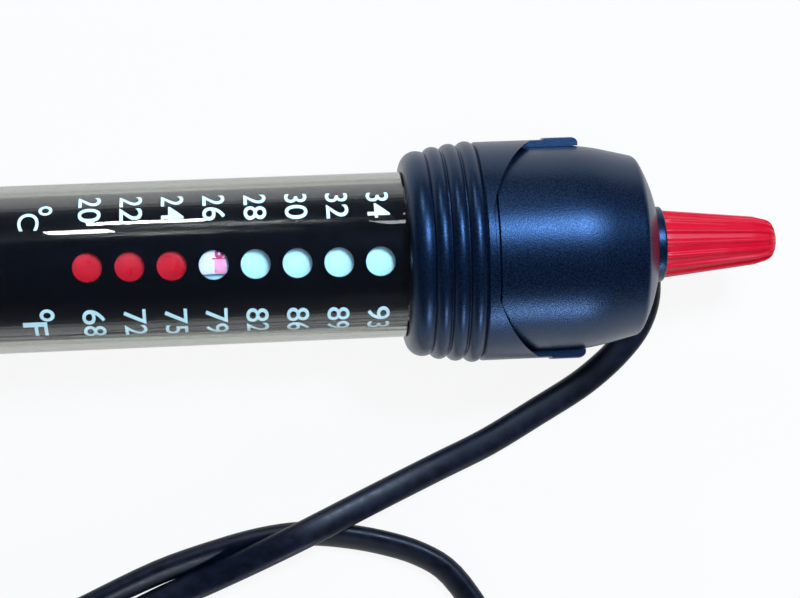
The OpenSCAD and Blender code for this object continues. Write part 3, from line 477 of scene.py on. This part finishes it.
HEAD_R = 18.7
HEAD_WALL = 2.2
HEAD_START = 13.5
SHOULDER = (42.86, 15.81)          # where the dome meets the shoulder's rounding
SHOULDER_ROUND = 1.5
DOME_R = 27.3
BOSS_LEN = 1.5
BOSS_ROUND = 0.4
BEND_X = 33                        # where the cylinder's line meets the cone's
EASE = 4                           # the bend is eased over this length on either side
KNOB_HOLE_R = 4.6
KNOB_HOLE_DEPTH = 9
SHOULDER_FROM = 77                 # where the shoulder's rounding begins, in degrees from the axis
GROOVE_X = 15.4                    # the shut line where the collar meets the head
GROOVE = [(-0.45, 0), (-0.3, 0.45), (0.15, 0.45), (0.45, 0)]     # its outline: along, and depth


def arc_between(a, b, radius, steps):
    """Points of the arc that bulges outwards from a to b."""
    (ax, ay), (bx, by) = a, b
    span = math.dist(a, b)
    rise = math.sqrt(radius ** 2 - span ** 2 / 4) / span
    centre = ((ax + bx) / 2 + (by - ay) * rise, (ay + by) / 2 - (bx - ax) * rise)
    angles = [math.degrees(math.atan2(y - centre[1], x - centre[0])) for x, y in (a, b)]
    return centre, arc(centre, radius, *angles, steps)


def quadratic(a, b, c, t):
    """A point of the curve from a to c that is drawn towards b."""
    return tuple((1 - t) ** 2 * p + 2 * t * (1 - t) * q + t * t * r for p, q, r in zip(a, b, c))


def head_shell():
    """The head: a cylinder eased into a cone, a tight shoulder, a domed end and the boss round the knob."""
    face = (CAP_LEN - BOSS_LEN, BOSS_R)
    centre, dome = arc_between(SHOULDER, face, DOME_R, 16)
    normal = ((SHOULDER[0] - centre[0]) / DOME_R, (SHOULDER[1] - centre[1]) / DOME_R)
    shoulder_centre = (SHOULDER[0] - SHOULDER_ROUND * normal[0], SHOULDER[1] - SHOULDER_ROUND * normal[1])
    shoulder = arc(shoulder_centre, SHOULDER_ROUND, SHOULDER_FROM,
                   math.degrees(math.atan2(normal[1], normal[0])), 8)
    start, bend = (BEND_X - EASE, HEAD_R), (BEND_X, HEAD_R)
    slope = (HEAD_R - shoulder[0][1]) / (shoulder[0][0] - BEND_X)
    end = (BEND_X + EASE, HEAD_R - slope * EASE)
    side = [quadratic(start, bend, end, k / 12) for k in range(13)]
    groove = [(GROOVE_X + along, HEAD_R - depth) for along, depth in GROOVE]
    rim = [(CAP_LEN - BOSS_ROUND, BOSS_R)]
    rim += arc((CAP_LEN - BOSS_ROUND, BOSS_R - BOSS_ROUND), BOSS_ROUND, 75, 0, 4)
    inside = [(CAP_LEN - 0.05, BOSS_R - 0.5), (CAP_LEN - HEAD_WALL, BOSS_R - 0.5),
              (CAP_LEN - HEAD_WALL, KNOB_HOLE_R), (CAP_LEN - KNOB_HOLE_DEPTH, KNOB_HOLE_R),
              (SHOULDER[0] - 5, 13), (BEND_X, HEAD_R - HEAD_WALL), (HEAD_START, HEAD_R - HEAD_WALL)]
    return [(HEAD_START, HEAD_R)] + groove + side + shoulder + dome[1:] + rim + inside


turned("head_moulding", head_shell(), HEAD, "heater", "head_plastic", ("head_shell",), 192, True)

KNOB_BASE_R = 6.25
KNOB_TIP_R = 4.0
FLUTES = 15
FLUTE_DEPTH = 0.45
FLUTE_STEPS = 20           # columns for each flute
CREST_SHARE = 0.14         # the crest's narrow round top, as a share of half a flute
BLEND_SHARE = 0.5          # from the crest down into the valley
SPINDLE_BORE_R = 2.03
SPINDLE_BORE_LEN = 14
KNOB_SUNK = 1.9            # how far it goes down inside the boss
KNOB_TIP_ROUND = 2.4
KNOB_TIP_LEN = 2.75


def fluted_knob():
    """A tapered knob with wide shallow valleys between narrow round crests, which run over its tip."""
    back = CAP_LEN - KNOB_SUNK
    end = CAP_LEN + KNOB_LEN
    corner = (end - KNOB_TIP_LEN, KNOB_TIP_R - KNOB_TIP_ROUND)
    side = [(CAP_LEN + KNOB_LEN * t / 16, KNOB_BASE_R - (KNOB_BASE_R - KNOB_TIP_R) * t / 16)
            for t in range(14)]
    tip = arc(corner, KNOB_TIP_ROUND, 84, 12, 12)
    tip_x, tip_r = tip[-1]
    dome = [(end - (end - tip_x) * (1 - t / 6) ** 2, tip_r * (1 - t / 6)) for t in range(1, 7)]
    bore_end = back + SPINDLE_BORE_LEN
    inside = [(bore_end, 0), (bore_end, SPINDLE_BORE_R), (back, SPINDLE_BORE_R), (back, KNOB_BASE_R - 0.5)]
    points = []
    outside = side + tip + dome
    for x, r in inside + outside:
        fade = eased((r - 1.4) / 1.9) if (x, r) in outside else 0
        for k in range(FLUTES * FLUTE_STEPS):
            t = k / FLUTE_STEPS
            from_crest = abs((t + 0.5) % 1 - 0.5) * 2
            depth = FLUTE_DEPTH * fade * eased((from_crest - CREST_SHARE) / BLEND_SHARE)
            points.append(about_axis(x, r - depth, 360 * t / FLUTES))
    return points, skin(len(inside) + len(outside), FLUTES * FLUTE_STEPS)


piece("fluted_knob", *fluted_knob(), KNOB, "knob_drive", "knob_plastic", ("knob",))

# ---- Printing on the film and on the indicator ----

INK_T = 0.02
STRIP_W = 0.5              # lettering is cut into strips this wide before it is wrapped
GLYPH_H = 3.95
CELSIUS_W = 6.7            # the width of the first number; each next one is a little narrower
CELSIUS_NARROWS = 0.1
FAHRENHEIT_W = 7.2
LETTER_BOLD = 0.006        # how far the strokes are thickened, as a share of the font's size
FILM_T = 0.35
FILM_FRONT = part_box("scale_film")[1].x / MM - MOUTH_X
FILM_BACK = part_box("scale_film")[0].x / MM - MOUTH_X
WINDOW_START = 5
WINDOW_PITCH = 7.31
WINDOW_R = 2.6
WINDOW_SIDES = 72
WINDOWS = 8
CELSIUS = [20 + 2 * i for i in range(WINDOWS)]
FAHRENHEIT = [68, 72, 75, 79, 82, 86, 89, 93]
# Angles are in degrees from the top: a window's counts down the near side, and a number's towards +Y. An X is
# measured from the window's centre. Each is the value at the first window, with its drift for each next one.
WINDOW_ANGLE, WINDOW_ANGLE_DRIFT = 1.8, 0.59
CELSIUS_X, CELSIUS_X_DRIFT = 0.55, 0.07
CELSIUS_ANGLE, CELSIUS_ANGLE_DRIFT = 48.7, 0.97
FAHRENHEIT_X, FAHRENHEIT_X_DRIFT = 0.6, 0.15
FAHRENHEIT_ANGLE, FAHRENHEIT_ANGLE_DRIFT = -51.5, 1.15


def window_x(i):
    """Where a window's centre lies, from the cap's mouth. The last one is next to the cap."""
    return -WINDOW_START - WINDOW_PITCH * (WINDOWS - 1 - i)


def window_angle(i):
    """How far down the near side each window lies: the film was rolled a little askew."""
    return WINDOW_ANGLE + WINDOW_ANGLE_DRIFT * i


def celsius_place(i):
    """Where a number lies: x from the cap's mouth, and its angle from the top towards +Y."""
    return window_x(i) + CELSIUS_X - CELSIUS_X_DRIFT * i, CELSIUS_ANGLE - CELSIUS_ANGLE_DRIFT * i


def fahrenheit_place(i):
    """Where a number lies: x from the cap's mouth, and its angle from the top towards +Y."""
    return window_x(i) + FAHRENHEIT_X - FAHRENHEIT_X_DRIFT * i, FAHRENHEIT_ANGLE - FAHRENHEIT_ANGLE_DRIFT * i


def wrapped(name, flat, wide, tall, x, angle, radii, material, slot, replaces=()):
    """Cuts a flat shape into narrow strips and rolls it round the axis, its tops towards the knob.

    The flat shape is a curve or text object with an extrusion, which gives its thickness between the radii.
    """
    bpy.context.scene.collection.objects.link(flat)
    shapes = bpy.context.evaluated_depsgraph_get()
    cut_out = bmesh.new()
    cut_out.from_mesh(flat.evaluated_get(shapes).to_mesh())
    bpy.data.objects.remove(flat)
    bmesh.ops.remove_doubles(cut_out, verts=cut_out.verts, dist=0.0001)
    low = [min(v.co[i] for v in cut_out.verts) for i in range(3)]
    high = [max(v.co[i] for v in cut_out.verts) for i in range(3)]
    for v in cut_out.verts:
        share = [(v.co[i] - low[i]) / (high[i] - low[i]) for i in range(3)]
        v.co = ((share[0] - 0.5) * wide, (share[1] - 0.5) * tall, radii[0] + (radii[1] - radii[0]) * share[2])
    for cut in range(1, math.ceil(wide / STRIP_W)):
        everything = cut_out.verts[:] + cut_out.edges[:] + cut_out.faces[:]
        bmesh.ops.bisect_plane(cut_out, geom=everything, plane_co=(cut * STRIP_W - wide / 2, 0, 0),
                               plane_no=(1, 0, 0))
    cut_out.verts.index_update()
    points = [about_axis(x + v.co.y, v.co.z, angle - math.degrees(v.co.x / FILM_R)) for v in cut_out.verts]
    faces = [tuple(v.index for v in face.verts) for face in cut_out.faces]
    cut_out.free()
    return piece(name, points, faces, material, "heater", slot, replaces)


def lettering(name, text, x, angle, tall, wide, material):
    """A number or letter printed on the film."""
    font = bpy.data.curves.new(name, "FONT")
    font.body = text
    font.offset = LETTER_BOLD
    font.extrude = 1
    flat = bpy.data.objects.new(name + "_flat", font)
    return wrapped(name, flat, wide, tall, x, angle, (FILM_R + INK_T / 4, FILM_R + INK_T), material, "film")


def film_sheet():
    """The film: one sheet with a round window beside each number, rolled into a tube that meets below."""
    sheet = bpy.data.curves.new("film_sheet", "CURVE")
    sheet.dimensions = "2D"
    sheet.fill_mode = "BOTH"
    sheet.extrude = 1
    around = math.pi * FILM_R
    middle = (FILM_FRONT + FILM_BACK) / 2
    half = (FILM_FRONT - FILM_BACK) / 2
    outlines = [[(-around, -half), (around, -half), (around, half), (-around, half)]]
    for i in range(WINDOWS):
        across = math.radians(window_angle(i)) * FILM_R
        turns = [2 * math.pi * k / WINDOW_SIDES for k in range(WINDOW_SIDES)]
        outlines.append([(across + WINDOW_R * math.cos(w), window_x(i) - middle + WINDOW_R * math.sin(w))
                         for w in turns])
    for outline in outlines:
        spline = sheet.splines.new("POLY")
        spline.points.add(len(outline) - 1)
        for point, (u, v) in zip(spline.points, outline):
            point.co = (u, v, 0, 1)
        spline.use_cyclic_u = True
    flat = bpy.data.objects.new("window_film_flat", sheet)
    return wrapped("window_film", flat, 2 * around, 2 * half, middle, 0, (FILM_R - FILM_T, FILM_R),
                   FILM, "film", ("scale_film",))


def printed_ring(name, x, angle, radius, outer, inner, material, body, slot):
    """A thin ring laid on a surface of the given radius about the axis."""
    sides = 40
    points = []
    for size, rise in ((outer, 0.1), (outer, 1), (inner, 1), (inner, 0.1)):
        for k in range(sides):
            w = 2 * math.pi * k / sides
            points.append(about_axis(x + size * math.cos(w), radius + INK_T * rise,
                                     angle + math.degrees(size * math.sin(w) / radius)))
    return piece(name, points, skin(4, sides, True), material, body, slot)


def printed_patch(name, ends, angles, radius, material, body, slot):
    """A thin rectangle laid on a surface of the given radius about the axis."""
    steps = 10
    points = []
    for x, rise in ((ends[0], 0.1), (ends[0], 1), (ends[1], 1), (ends[1], 0.1)):
        for k in range(steps + 1):
            angle = angles[0] + (angles[1] - angles[0]) * k / steps
            points.append(about_axis(x, radius + INK_T * rise, angle))
    width = steps + 1
    sides = [(0, width, 2 * width, 3 * width), tuple(i * width + steps for i in (3, 2, 1, 0))]
    return piece(name, points, skin(4, width, True, False) + sides, material, body, slot)


film_sheet()
for i in range(WINDOWS):
    lettering(f"celsius_{CELSIUS[i]}", str(CELSIUS[i]), *celsius_place(i), GLYPH_H,
              CELSIUS_W - CELSIUS_NARROWS * i, INK)
    lettering(f"fahrenheit_{FAHRENHEIT[i]}", str(FAHRENHEIT[i]), *fahrenheit_place(i), GLYPH_H,
              FAHRENHEIT_W, INK)
lettering("celsius_letter", "C", -66.2, 36.8, 3.65, 3.7, INK)
lettering("fahrenheit_letter", "F", -65.85, -54.2, 4.2, 3.9, INK)
printed_ring("celsius_degree", -63.25, 47.7, FILM_R, 1.2, 0.65, INK, "heater", "film")
printed_ring("fahrenheit_degree", -63.6, -39.2, FILM_R, 1.3, 0.65, INK, "heater", "film")

SLIDE_R = 12.35
SHOWN_X = window_x(3)      # at rest the marks stand in the window of 26 degrees
printed_patch("indicator_pink", (SHOWN_X + 0.1, SHOWN_X + 2.15), (-10.8, 0.6), SLIDE_R, PINK, "indicator",
              "white_plastic")
printed_patch("indicator_line", (SHOWN_X - 0.3, SHOWN_X + 2.15), (0.7, 1.9), SLIDE_R, MAGENTA, "indicator",
              "red_plastic")
printed_ring("indicator_ring", SHOWN_X + 1.0, 5.0, SLIDE_R, 0.8, 0.25, MAGENTA, "indicator", "red_plastic")

# ---- Heating wire, leads and lamp ----

COIL_FRONT = -154
COIL_BACK = -222
COIL_R = 8.69
COIL_TURNS = 17
COIL_STEPS = 36
WIRE_R = 0.8
COIL_WIRE_R = 0.45
LEG_R = 0.3                # of the lamp's electrodes and the resistor's legs


def coil_route():
    """The turns of the heating wire round the core."""
    steps = COIL_TURNS * COIL_STEPS
    turns = [(k / steps, 2 * math.pi * k / COIL_STEPS) for k in range(steps + 1)]
    return [(COIL_FRONT + (COIL_BACK - COIL_FRONT) * t, COIL_R * math.sin(a), -COIL_R * math.cos(a))
            for t, a in turns]


LIVE_ROUTE = [(40.1, 0.3, -10.2), (37.3, -0.8, -10.2), (32.8, -3.8, -9), (28.8, -6, -7), (24.8, -6.5, -6.1),
              (19.8, -6.5, -6), (8, -6.5, -6), (-4, -6.5, -6), (-7, -6.4, -6.2), (-11, -5.6, -7.8),
              (-15, -3.6, -9.2), (-18.2, -1, -9.4)]
NEUTRAL_ROUTE = [(40.1, 2.7, -10.2), (37.3, 3.6, -10), (32.8, 5, -8.8), (28.8, 6.2, -7), (24.8, 6.5, -6.1),
                 (19.8, 6.5, -6), (0, 6.5, -6), (-60, 6.5, -6), (-120, 6.5, -6), (-140, 6.5, -6),
                 (-144, 6.5, -6), (-145.6, 6, -5.6), (-146.1, 4.2, -3.9), (-146.15, 1.3, -1.2)]
LOAD_ROUTE = [(-113.9, -1, -9.4), (-116.5, -3.6, -8.9), (-118.6, -6.2, -6.6), (-120.6, -6.5, -6),
              (-128, -6.5, -6), (-139, -6.5, -6), (-148, -6.5, -6), (-150.6, -6.4, -6.1), (-152.4, -5, -7.8),
              (-154, -1.6, -9.2), (-154.2, 0, -9.3)]
RETURN_ROUTE = [(-221.8, 0, -9.3), (-225, 0, -9.3), (-228.6, 0, -9.05), (-229.6, 0, -7.8), (-229.8, 0, -5.6),
                (-229.9, 0, -2)]

wire("heating_wire", coil_route(), COIL_WIRE_R, NICHROME, "nichrome", ("heating_coil",), 10)
wire("live_wire", smooth(LIVE_ROUTE, 5), WIRE_R, BROWN, "brown_wire", ("live_lead",))
wire("neutral_wire", smooth(NEUTRAL_ROUTE, 5), WIRE_R, BLUE, "blue_wire", ("neutral_lead",))
wire("load_wire", smooth(LOAD_ROUTE, 5), WIRE_R, SLEEVE, "white_sleeve", ("load_lead",))
wire("return_wire", smooth(RETURN_ROUTE, 5), WIRE_R, SLEEVE, "white_sleeve", ("return_lead",))

LAMP_R = 2.3
LAMP_X = -136.8            # the centre of the lamp's round end
LAMP_LEN = 9
LAMP_Z = 3.3
piece("lamp_capsule", *revolved(
    arc((MOUTH_X + LAMP_X, 0), LAMP_R, 180, 90, 12)
    + [(MOUTH_X + LAMP_X + LAMP_LEN - 1.6, LAMP_R), (MOUTH_X + LAMP_X + LAMP_LEN - 0.7, LAMP_R - 0.4),
       (MOUTH_X + LAMP_X + LAMP_LEN, LAMP_R - 1.2), (MOUTH_X + LAMP_X + LAMP_LEN, 0)],
    line_at(0, AXIS_Z + LAMP_Z), 48), NEON, "heater", "neon_glass", ("neon_lamp",))
for side in (-1, 1):
    wire(f"lamp_electrode_{'near' if side < 0 else 'far'}", smooth([
        (LAMP_X, side * 0.75, LAMP_Z), (LAMP_X + 4, side * 0.75, LAMP_Z), (LAMP_X + 8, side * 0.9, LAMP_Z),
        (LAMP_X + 8.9, side * 1.05, LAMP_Z - 0.6), (LAMP_X + 9, side * 1.1, LAMP_Z - 1.8),
        (LAMP_X + 9, side * 1.1, 0.4)], 5), LEG_R, STEEL, "steel", (), 10)

RESISTOR_X = -135.8
RESISTOR_Z = -2.3
RESISTOR_LEN = 6.5
BAND_X = (1.1, 2.4, 3.4, 5.2)
BAND_FINISH = (BROWN, SEAL, BRASS, RED)
BAND_W = 0.5
BAND_T = 0.06
resistor_line = line_at(0, AXIS_Z + RESISTOR_Z)
resistor_end = MOUTH_X + RESISTOR_X
piece("resistor_body", *revolved(
    [(resistor_end, 0.2), (resistor_end, 0.8)] + arc((resistor_end + 0.45, 0.75), 0.45, 170, 90, 4)
    + [(resistor_end + 1.5, 1.2), (resistor_end + 1.9, 1.02), (resistor_end + 4.6, 1.02),
       (resistor_end + 5, 1.2)]
    + arc((resistor_end + 6.05, 0.75), 0.45, 90, 10, 4)
    + [(resistor_end + RESISTOR_LEN, 0.8), (resistor_end + RESISTOR_LEN, 0.2)],
    resistor_line, 40), RESISTOR, "heater", "resistor", ("lamp_resistor",))
for i, (along, finish) in enumerate(zip(BAND_X, BAND_FINISH)):
    band_r = 1.22 if along < 1.5 or along > 5 else 1.04
    start = resistor_end + along
    band = [(start, band_r - BAND_T), (start, band_r),
            (start + BAND_W, band_r), (start + BAND_W, band_r - BAND_T)]
    piece(f"resistor_band_{i + 1}", *revolved(band, resistor_line, 40, True), finish, "heater", "resistor")
wire("resistor_legs", [(RESISTOR_X - 0.7, 0, -0.4), (RESISTOR_X - 0.7, 0, -1.6)]
     + [(RESISTOR_X - 0.4 - 0.3 * math.cos(math.radians(a)), 0, -2.0 - 0.3 * math.sin(math.radians(a)))
        for a in (30, 60, 90)]
     + [(RESISTOR_X + RESISTOR_LEN + 0.4 + 0.3 * math.sin(math.radians(a)), 0,
         -2.0 - 0.3 * math.cos(math.radians(a))) for a in (0, 30, 60)]
     + [(RESISTOR_X + RESISTOR_LEN + 0.7, 0, -1.6), (RESISTOR_X + RESISTOR_LEN + 0.7, 0, -0.4)],
     LEG_R, STEEL, "steel", (), 10)

# ---- What is on the cord ----

GLAND_ROUTE = [(129, 1.5, 9.9, 0), (131.6, 1.5, 9.9, 0), (133.8, 1, 9.7, 0), (135, -1, 9, 0),
               (135.3, -3.6, 8.2, 0), (135.2, -6.2, 7.1, 0)]
GLAND_WALL = 0.6
GLAND_PLUG = (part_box("cord_gland")[0].x / MM, 1.5, AXIS_Z - 10.2)
GLAND_PLUG_R = 3.75


def gland_shape():
    """The bent sleeve that guards the cord where it leaves the head, and the round plug that holds it."""
    route = smooth(GLAND_ROUTE, 8)

    def section(i, w):
        wall = GLAND_WALL * (1 - 0.55 * eased((i / (len(route) - 1) - 0.6) / 0.4))
        return (CORD_W / 2 + wall) * math.cos(w), (CORD_T / 2 + wall) * math.sin(w)
    x, y, z = GLAND_PLUG
    rim = [(x, 0), (x, GLAND_PLUG_R - 0.3), (x + 0.3, GLAND_PLUG_R), (x + 3.3, GLAND_PLUG_R)]
    rim += arc((x + 3.3, GLAND_PLUG_R - 0.3), 0.3, 90, 0, 4) + [(x + 3.6, 0)]
    return joined(tube_skin(route, section, 28), revolved(rim, line_at(y, z), 48))


gland = piece("gland_sleeve", *gland_shape(), GLAND, "heater", "seal_rubber", ("cord_gland",))

TIE_X = HANK_CENTRE[0]
TIE_W = 9
TIE_T = 0.6
TIE_HALF = 25.5            # half of the loop's width, at the middle of its thickness
TIE_TOP = 11.95
TIE_CORNER = 1.9


def strap_shape():
    """A woven strap round the folded cord, with its rounded end pressed down on top."""
    loop = []
    reach, top, bottom = TIE_HALF - TIE_CORNER, TIE_TOP - TIE_CORNER, TIE_CORNER + TIE_T / 2
    for cy, cz, start in ((reach, top, 0), (-reach, top, 90), (-reach, bottom, 180), (reach, bottom, 270)):
        for k in range(7):
            w = math.radians(start + 15 * k)
            loop.append((cy + TIE_CORNER * math.cos(w), cz + TIE_CORNER * math.sin(w), w))
    edge = [(-TIE_W / 2, 0.1), (-TIE_W / 2 + 0.2, 0.5), (TIE_W / 2 - 0.2, 0.5), (TIE_W / 2, 0.1),
            (TIE_W / 2, -0.1), (TIE_W / 2 - 0.2, -0.5), (-TIE_W / 2 + 0.2, -0.5), (-TIE_W / 2, -0.1)]
    points = [(TIE_X + u, HANK_CENTRE[1] + y + v * TIE_T * math.cos(w), z + v * TIE_T * math.sin(w))
              for y, z, w in loop for u, v in edge]
    flap = []
    for layer in (TIE_TOP + 0.3, TIE_TOP + 0.75):
        inset = 0 if layer < TIE_TOP + 0.5 else 0.15
        for u, y in [(-TIE_W / 2 + inset, -17 + inset)] + [
                (math.sin(math.radians(a)) * (TIE_W / 2 - inset), 8 + math.cos(math.radians(a)) * (4 - inset))
                for a in range(-90, 91, 15)] + [(TIE_W / 2 - inset, -17 + inset)]:
            flap.append((TIE_X + u, HANK_CENTRE[1] + y, layer))
    count = len(flap) // 2
    return joined((points, skin(len(loop), len(edge), True)),
                  (flap, skin(2, count) + end_faces(count, len(flap))))


strap = piece("tie_strap", *strap_shape(), STRAP, "heater", "tie_strap", ("cord_tie",))

PLUG_X, PLUG_Y, PLUG_Z = -110, -76, 6.85
PLUG_LEN = 36
# Along the plug from the cord's end: half its width, half its thickness and how square its section is
PLUG_SECTIONS = [(0, 4.7, 4.5, 2), (2, 6.2, 5.3, 2.1), (5, 8.2, 6.4, 2.4), (9, 10.4, 6.85, 2.8),
                 (14, 13, 6.85, 3.2), (19, 15.7, 6.85, 3.6), (23, 17.3, 6.85, 3.9), (28, 17.65, 6.85, 4),
                 (33, 17.65, 6.85, 4), (35, 17.4, 6.6, 4), (35.7, 16.9, 6.1, 4), (36, 16.2, 5.4, 4)]
GRIP_AT = (10, 13.4, 16.8, 20.2)
GRIP_DEPTH = 0.5
BOOT_LEN = 18
BOOT_GROOVES = 5
PIN_PITCH = 18.6


def plug_shape():
    """The moulded body, lofted from the cord to the face, with grip grooves, and its grooved bend relief."""
    sides = 72
    points = []
    stations = smooth(PLUG_SECTIONS, 6)
    for along, half_w, half_t, square in stations:
        grip = max(math.exp(-((along - g) / 0.65) ** 2) for g in GRIP_AT) * GRIP_DEPTH
        for k in range(sides):
            w = 2 * math.pi * k / sides
            c, s = math.cos(w), math.sin(w)
            y = math.copysign(abs(c) ** (2 / square), c) * (half_w - grip)
            z = math.copysign(abs(s) ** (2 / square), s) * half_t
            points.append((PLUG_X - along, PLUG_Y + y, PLUG_Z + z))
    body = (points, skin(len(stations), sides) + end_faces(sides, len(points)))
    boot = [(PLUG_X - 1, 0)]
    for k in range(73):
        t = k / 72
        groove = 0.5 * max(0, math.cos(2 * math.pi * (BOOT_GROOVES * t + 0.5))) ** 2 if 0.08 < t < 0.95 else 0
        boot.append((PLUG_X - 1 + (BOOT_LEN + 1) * t, 4.6 - 1.4 * t - groove))
    boot.append((PLUG_X + BOOT_LEN, 0))
    return joined(body, revolved(boot, line_at(PLUG_Y, PLUG_Z), 48))


def pin_line(side):
    """The line that a pin is turned about."""
    return line_at(PLUG_Y + side * PIN_PITCH / 2, PLUG_Z)


FACE_X = PLUG_X - PLUG_LEN
PIN_R = 2
PIN_CORE_R = 1.5
SLEEVE_R = 1.8
SLEEVE_LEN = 10
PIN_LEN = 19
PIN_NOSE = 1.3
SLEEVE_X = FACE_X - SLEEVE_LEN
pin_profile = ([(FACE_X, 0), (FACE_X, PIN_CORE_R), (SLEEVE_X, PIN_CORE_R), (SLEEVE_X, PIN_R - 0.15),
                (SLEEVE_X - 0.15, PIN_R)]
               + arc((FACE_X - PIN_LEN + PIN_NOSE, PIN_R - PIN_NOSE), PIN_NOSE, 90, 180, 8)
               + [(FACE_X - PIN_LEN, 0)])
sleeve_profile = [(FACE_X, PIN_CORE_R + 0.01), (FACE_X, SLEEVE_R), (SLEEVE_X + 0.2, SLEEVE_R),
                  (SLEEVE_X, SLEEVE_R - 0.15), (SLEEVE_X, PIN_CORE_R + 0.01)]
plug = piece("moulded_plug", *plug_shape(), PLUG, "heater", "plug_plastic", ("plug_body",))
pins = piece("turned_pins", *joined(*[revolved(pin_profile, pin_line(side), 48) for side in (-1, 1)]),
             BRASS, "heater", "brass", ("plug_pins",))
sleeve_pair = [revolved(sleeve_profile, pin_line(side), 48, True) for side in (-1, 1)]
sleeves = piece("pin_insulation", *joined(*sleeve_pair), PLUG, "heater", "plug_plastic", ("pin_sleeves",))

whole_route = smooth(CORD_ROUTE + hank_route() + TAIL_ROUTE, 4)
cord = flat_cord("mains_cord", whole_route, CORD_W, CORD_T, 20, SHEATH)


# ---- Camera, stage and light ----

VIEW_FROM = (54.45, -8.1, 418.73)    # the camera's place, in millimetres
VIEW_TILT = 4.7                      # degrees that it leans towards the knob
VIEW_ROLL = 2.37
LENS = 99.0                          # millimetres, on a 36 mm sensor

camera = bpy.data.objects.new("camera", bpy.data.cameras.new("camera"))
bpy.context.scene.collection.objects.link(camera)
camera.data.lens = LENS
camera.data.sensor_width = 36
camera.data.clip_start = 0.01
camera.matrix_world = (Matrix.Translation(Vector(VIEW_FROM) * MM)
                       @ Matrix.Rotation(math.radians(-VIEW_TILT), 4, "Y")
                       @ Matrix.Rotation(math.radians(-VIEW_ROLL), 4, "Z"))
bpy.context.scene.camera = camera

FLOOR_HALF = 4000
FLOOR_Z = -0.02
floor_mesh = bpy.data.meshes.new("floor")
floor_corners = [(-1, -1), (1, -1), (1, 1), (-1, 1)]
floor_mesh.from_pydata([Vector((x * FLOOR_HALF, y * FLOOR_HALF, FLOOR_Z)) * MM for x, y in floor_corners],
                       [], [(0, 1, 2, 3)])
floor = bpy.data.objects.new("floor", floor_mesh)
bpy.context.scene.collection.objects.link(floor)

WHITE_SHARE = 0.9          # how much of the paper is seen as plain white; the rest keeps the shadow
paper, paper_tree, paper_shader = finish_of("matt white paper", **{
    "Base Color": srgb("#E8E8E8"), "Roughness": 0.9, "Specular IOR Level": 0.1})
rays = add(paper_tree, "ShaderNodeLightPath")
seen = add(paper_tree, "ShaderNodeMath", {0: rays.outputs["Is Camera Ray"], 1: rays.outputs["Is Glossy Ray"]},
           operation="MAXIMUM")
seen = add(paper_tree, "ShaderNodeMath", {0: seen.outputs[0], 1: rays.outputs["Is Transmission Ray"]},
           operation="MAXIMUM")
share = add(paper_tree, "ShaderNodeMath", {0: seen.outputs[0], 1: WHITE_SHARE}, operation="MULTIPLY")
glow = add(paper_tree, "ShaderNodeEmission", {"Color": (1, 1, 1, 1), "Strength": 1.0})
both = add(paper_tree, "ShaderNodeMixShader", {
    0: share.outputs[0], 1: paper_shader.outputs[0], 2: glow.outputs[0]})
paper_tree.links.new(both.outputs[0], paper_tree.nodes["Material Output"].inputs["Surface"])
floor_mesh.materials.append(paper)

world = bpy.data.worlds.new("room")
bpy.context.scene.world = world
world.use_nodes = True
room = world.node_tree
room.nodes.clear()
sight = add(room, "ShaderNodeTexCoord")
height = add(room, "ShaderNodeSeparateXYZ", {0: sight.outputs["Generated"]})
shade = add(room, "ShaderNodeMapRange", {
    "Value": height.outputs["Z"], "From Min": 0.15, "From Max": 0.6, "To Min": 0.12, "To Max": 0.04})
sight_lines = add(room, "ShaderNodeLightPath")
backdrop = add(room, "ShaderNodeMath", {0: shade.outputs[0], 1: sight_lines.outputs["Is Camera Ray"]},
               operation="MAXIMUM")
sky = add(room, "ShaderNodeBackground", {"Color": srgb("#F6FAFF"), "Strength": backdrop.outputs[0]})
add(room, "ShaderNodeOutputWorld", {"Surface": sky.outputs[0]})


def soft_lamp(name, place, aim, size, power, colour):
    """A rectangular lamp at a place, turned towards a point, both in millimetres."""
    data = bpy.data.lights.new(name, "AREA")
    data.shape = "RECTANGLE"
    data.size, data.size_y = size[0] * MM, size[1] * MM
    data.energy = power
    data.color = srgb(colour)[:3]
    lamp = bpy.data.objects.new(name, data)
    bpy.context.scene.collection.objects.link(lamp)
    place, aim = Vector(place) * MM, Vector(aim) * MM
    lamp.location = place
    lamp.rotation_mode = "QUATERNION"
    lamp.rotation_quaternion = (aim - place).to_track_quat("-Z", "Y")
    return lamp


# The key and near lamps stand past the knob, so that the glass does not mirror them. The fill lamp lights
# what is matt, and is not mirrored. The strip lamps are the two thin lines on the glass.
soft_lamp("key lamp", (252, 215, 530), (120, 4, 30), (140, 130), 2.95, "#C4DEFF")
soft_lamp("near lamp", (215, -560, 190), (110, 0, 20), (130, 110), 1.0, "#DCEAFF")
fill = soft_lamp("fill lamp", (60, 40, 760), (60, 0, 20), (620, 520), 1.45, "#F4FAFF")
fill.visible_glossy = False
fill.visible_transmission = False
soft_lamp("long strip lamp", (25, 480, 316), (40, 0, 33), (50, 46), 0.36, "#FFFFFF")
soft_lamp("short strip lamp", (-9, 480, 467), (25, 0, 33), (31, 62), 0.28, "#FFFFFF")

bpy.context.scene.view_settings.view_transform = "Standard"
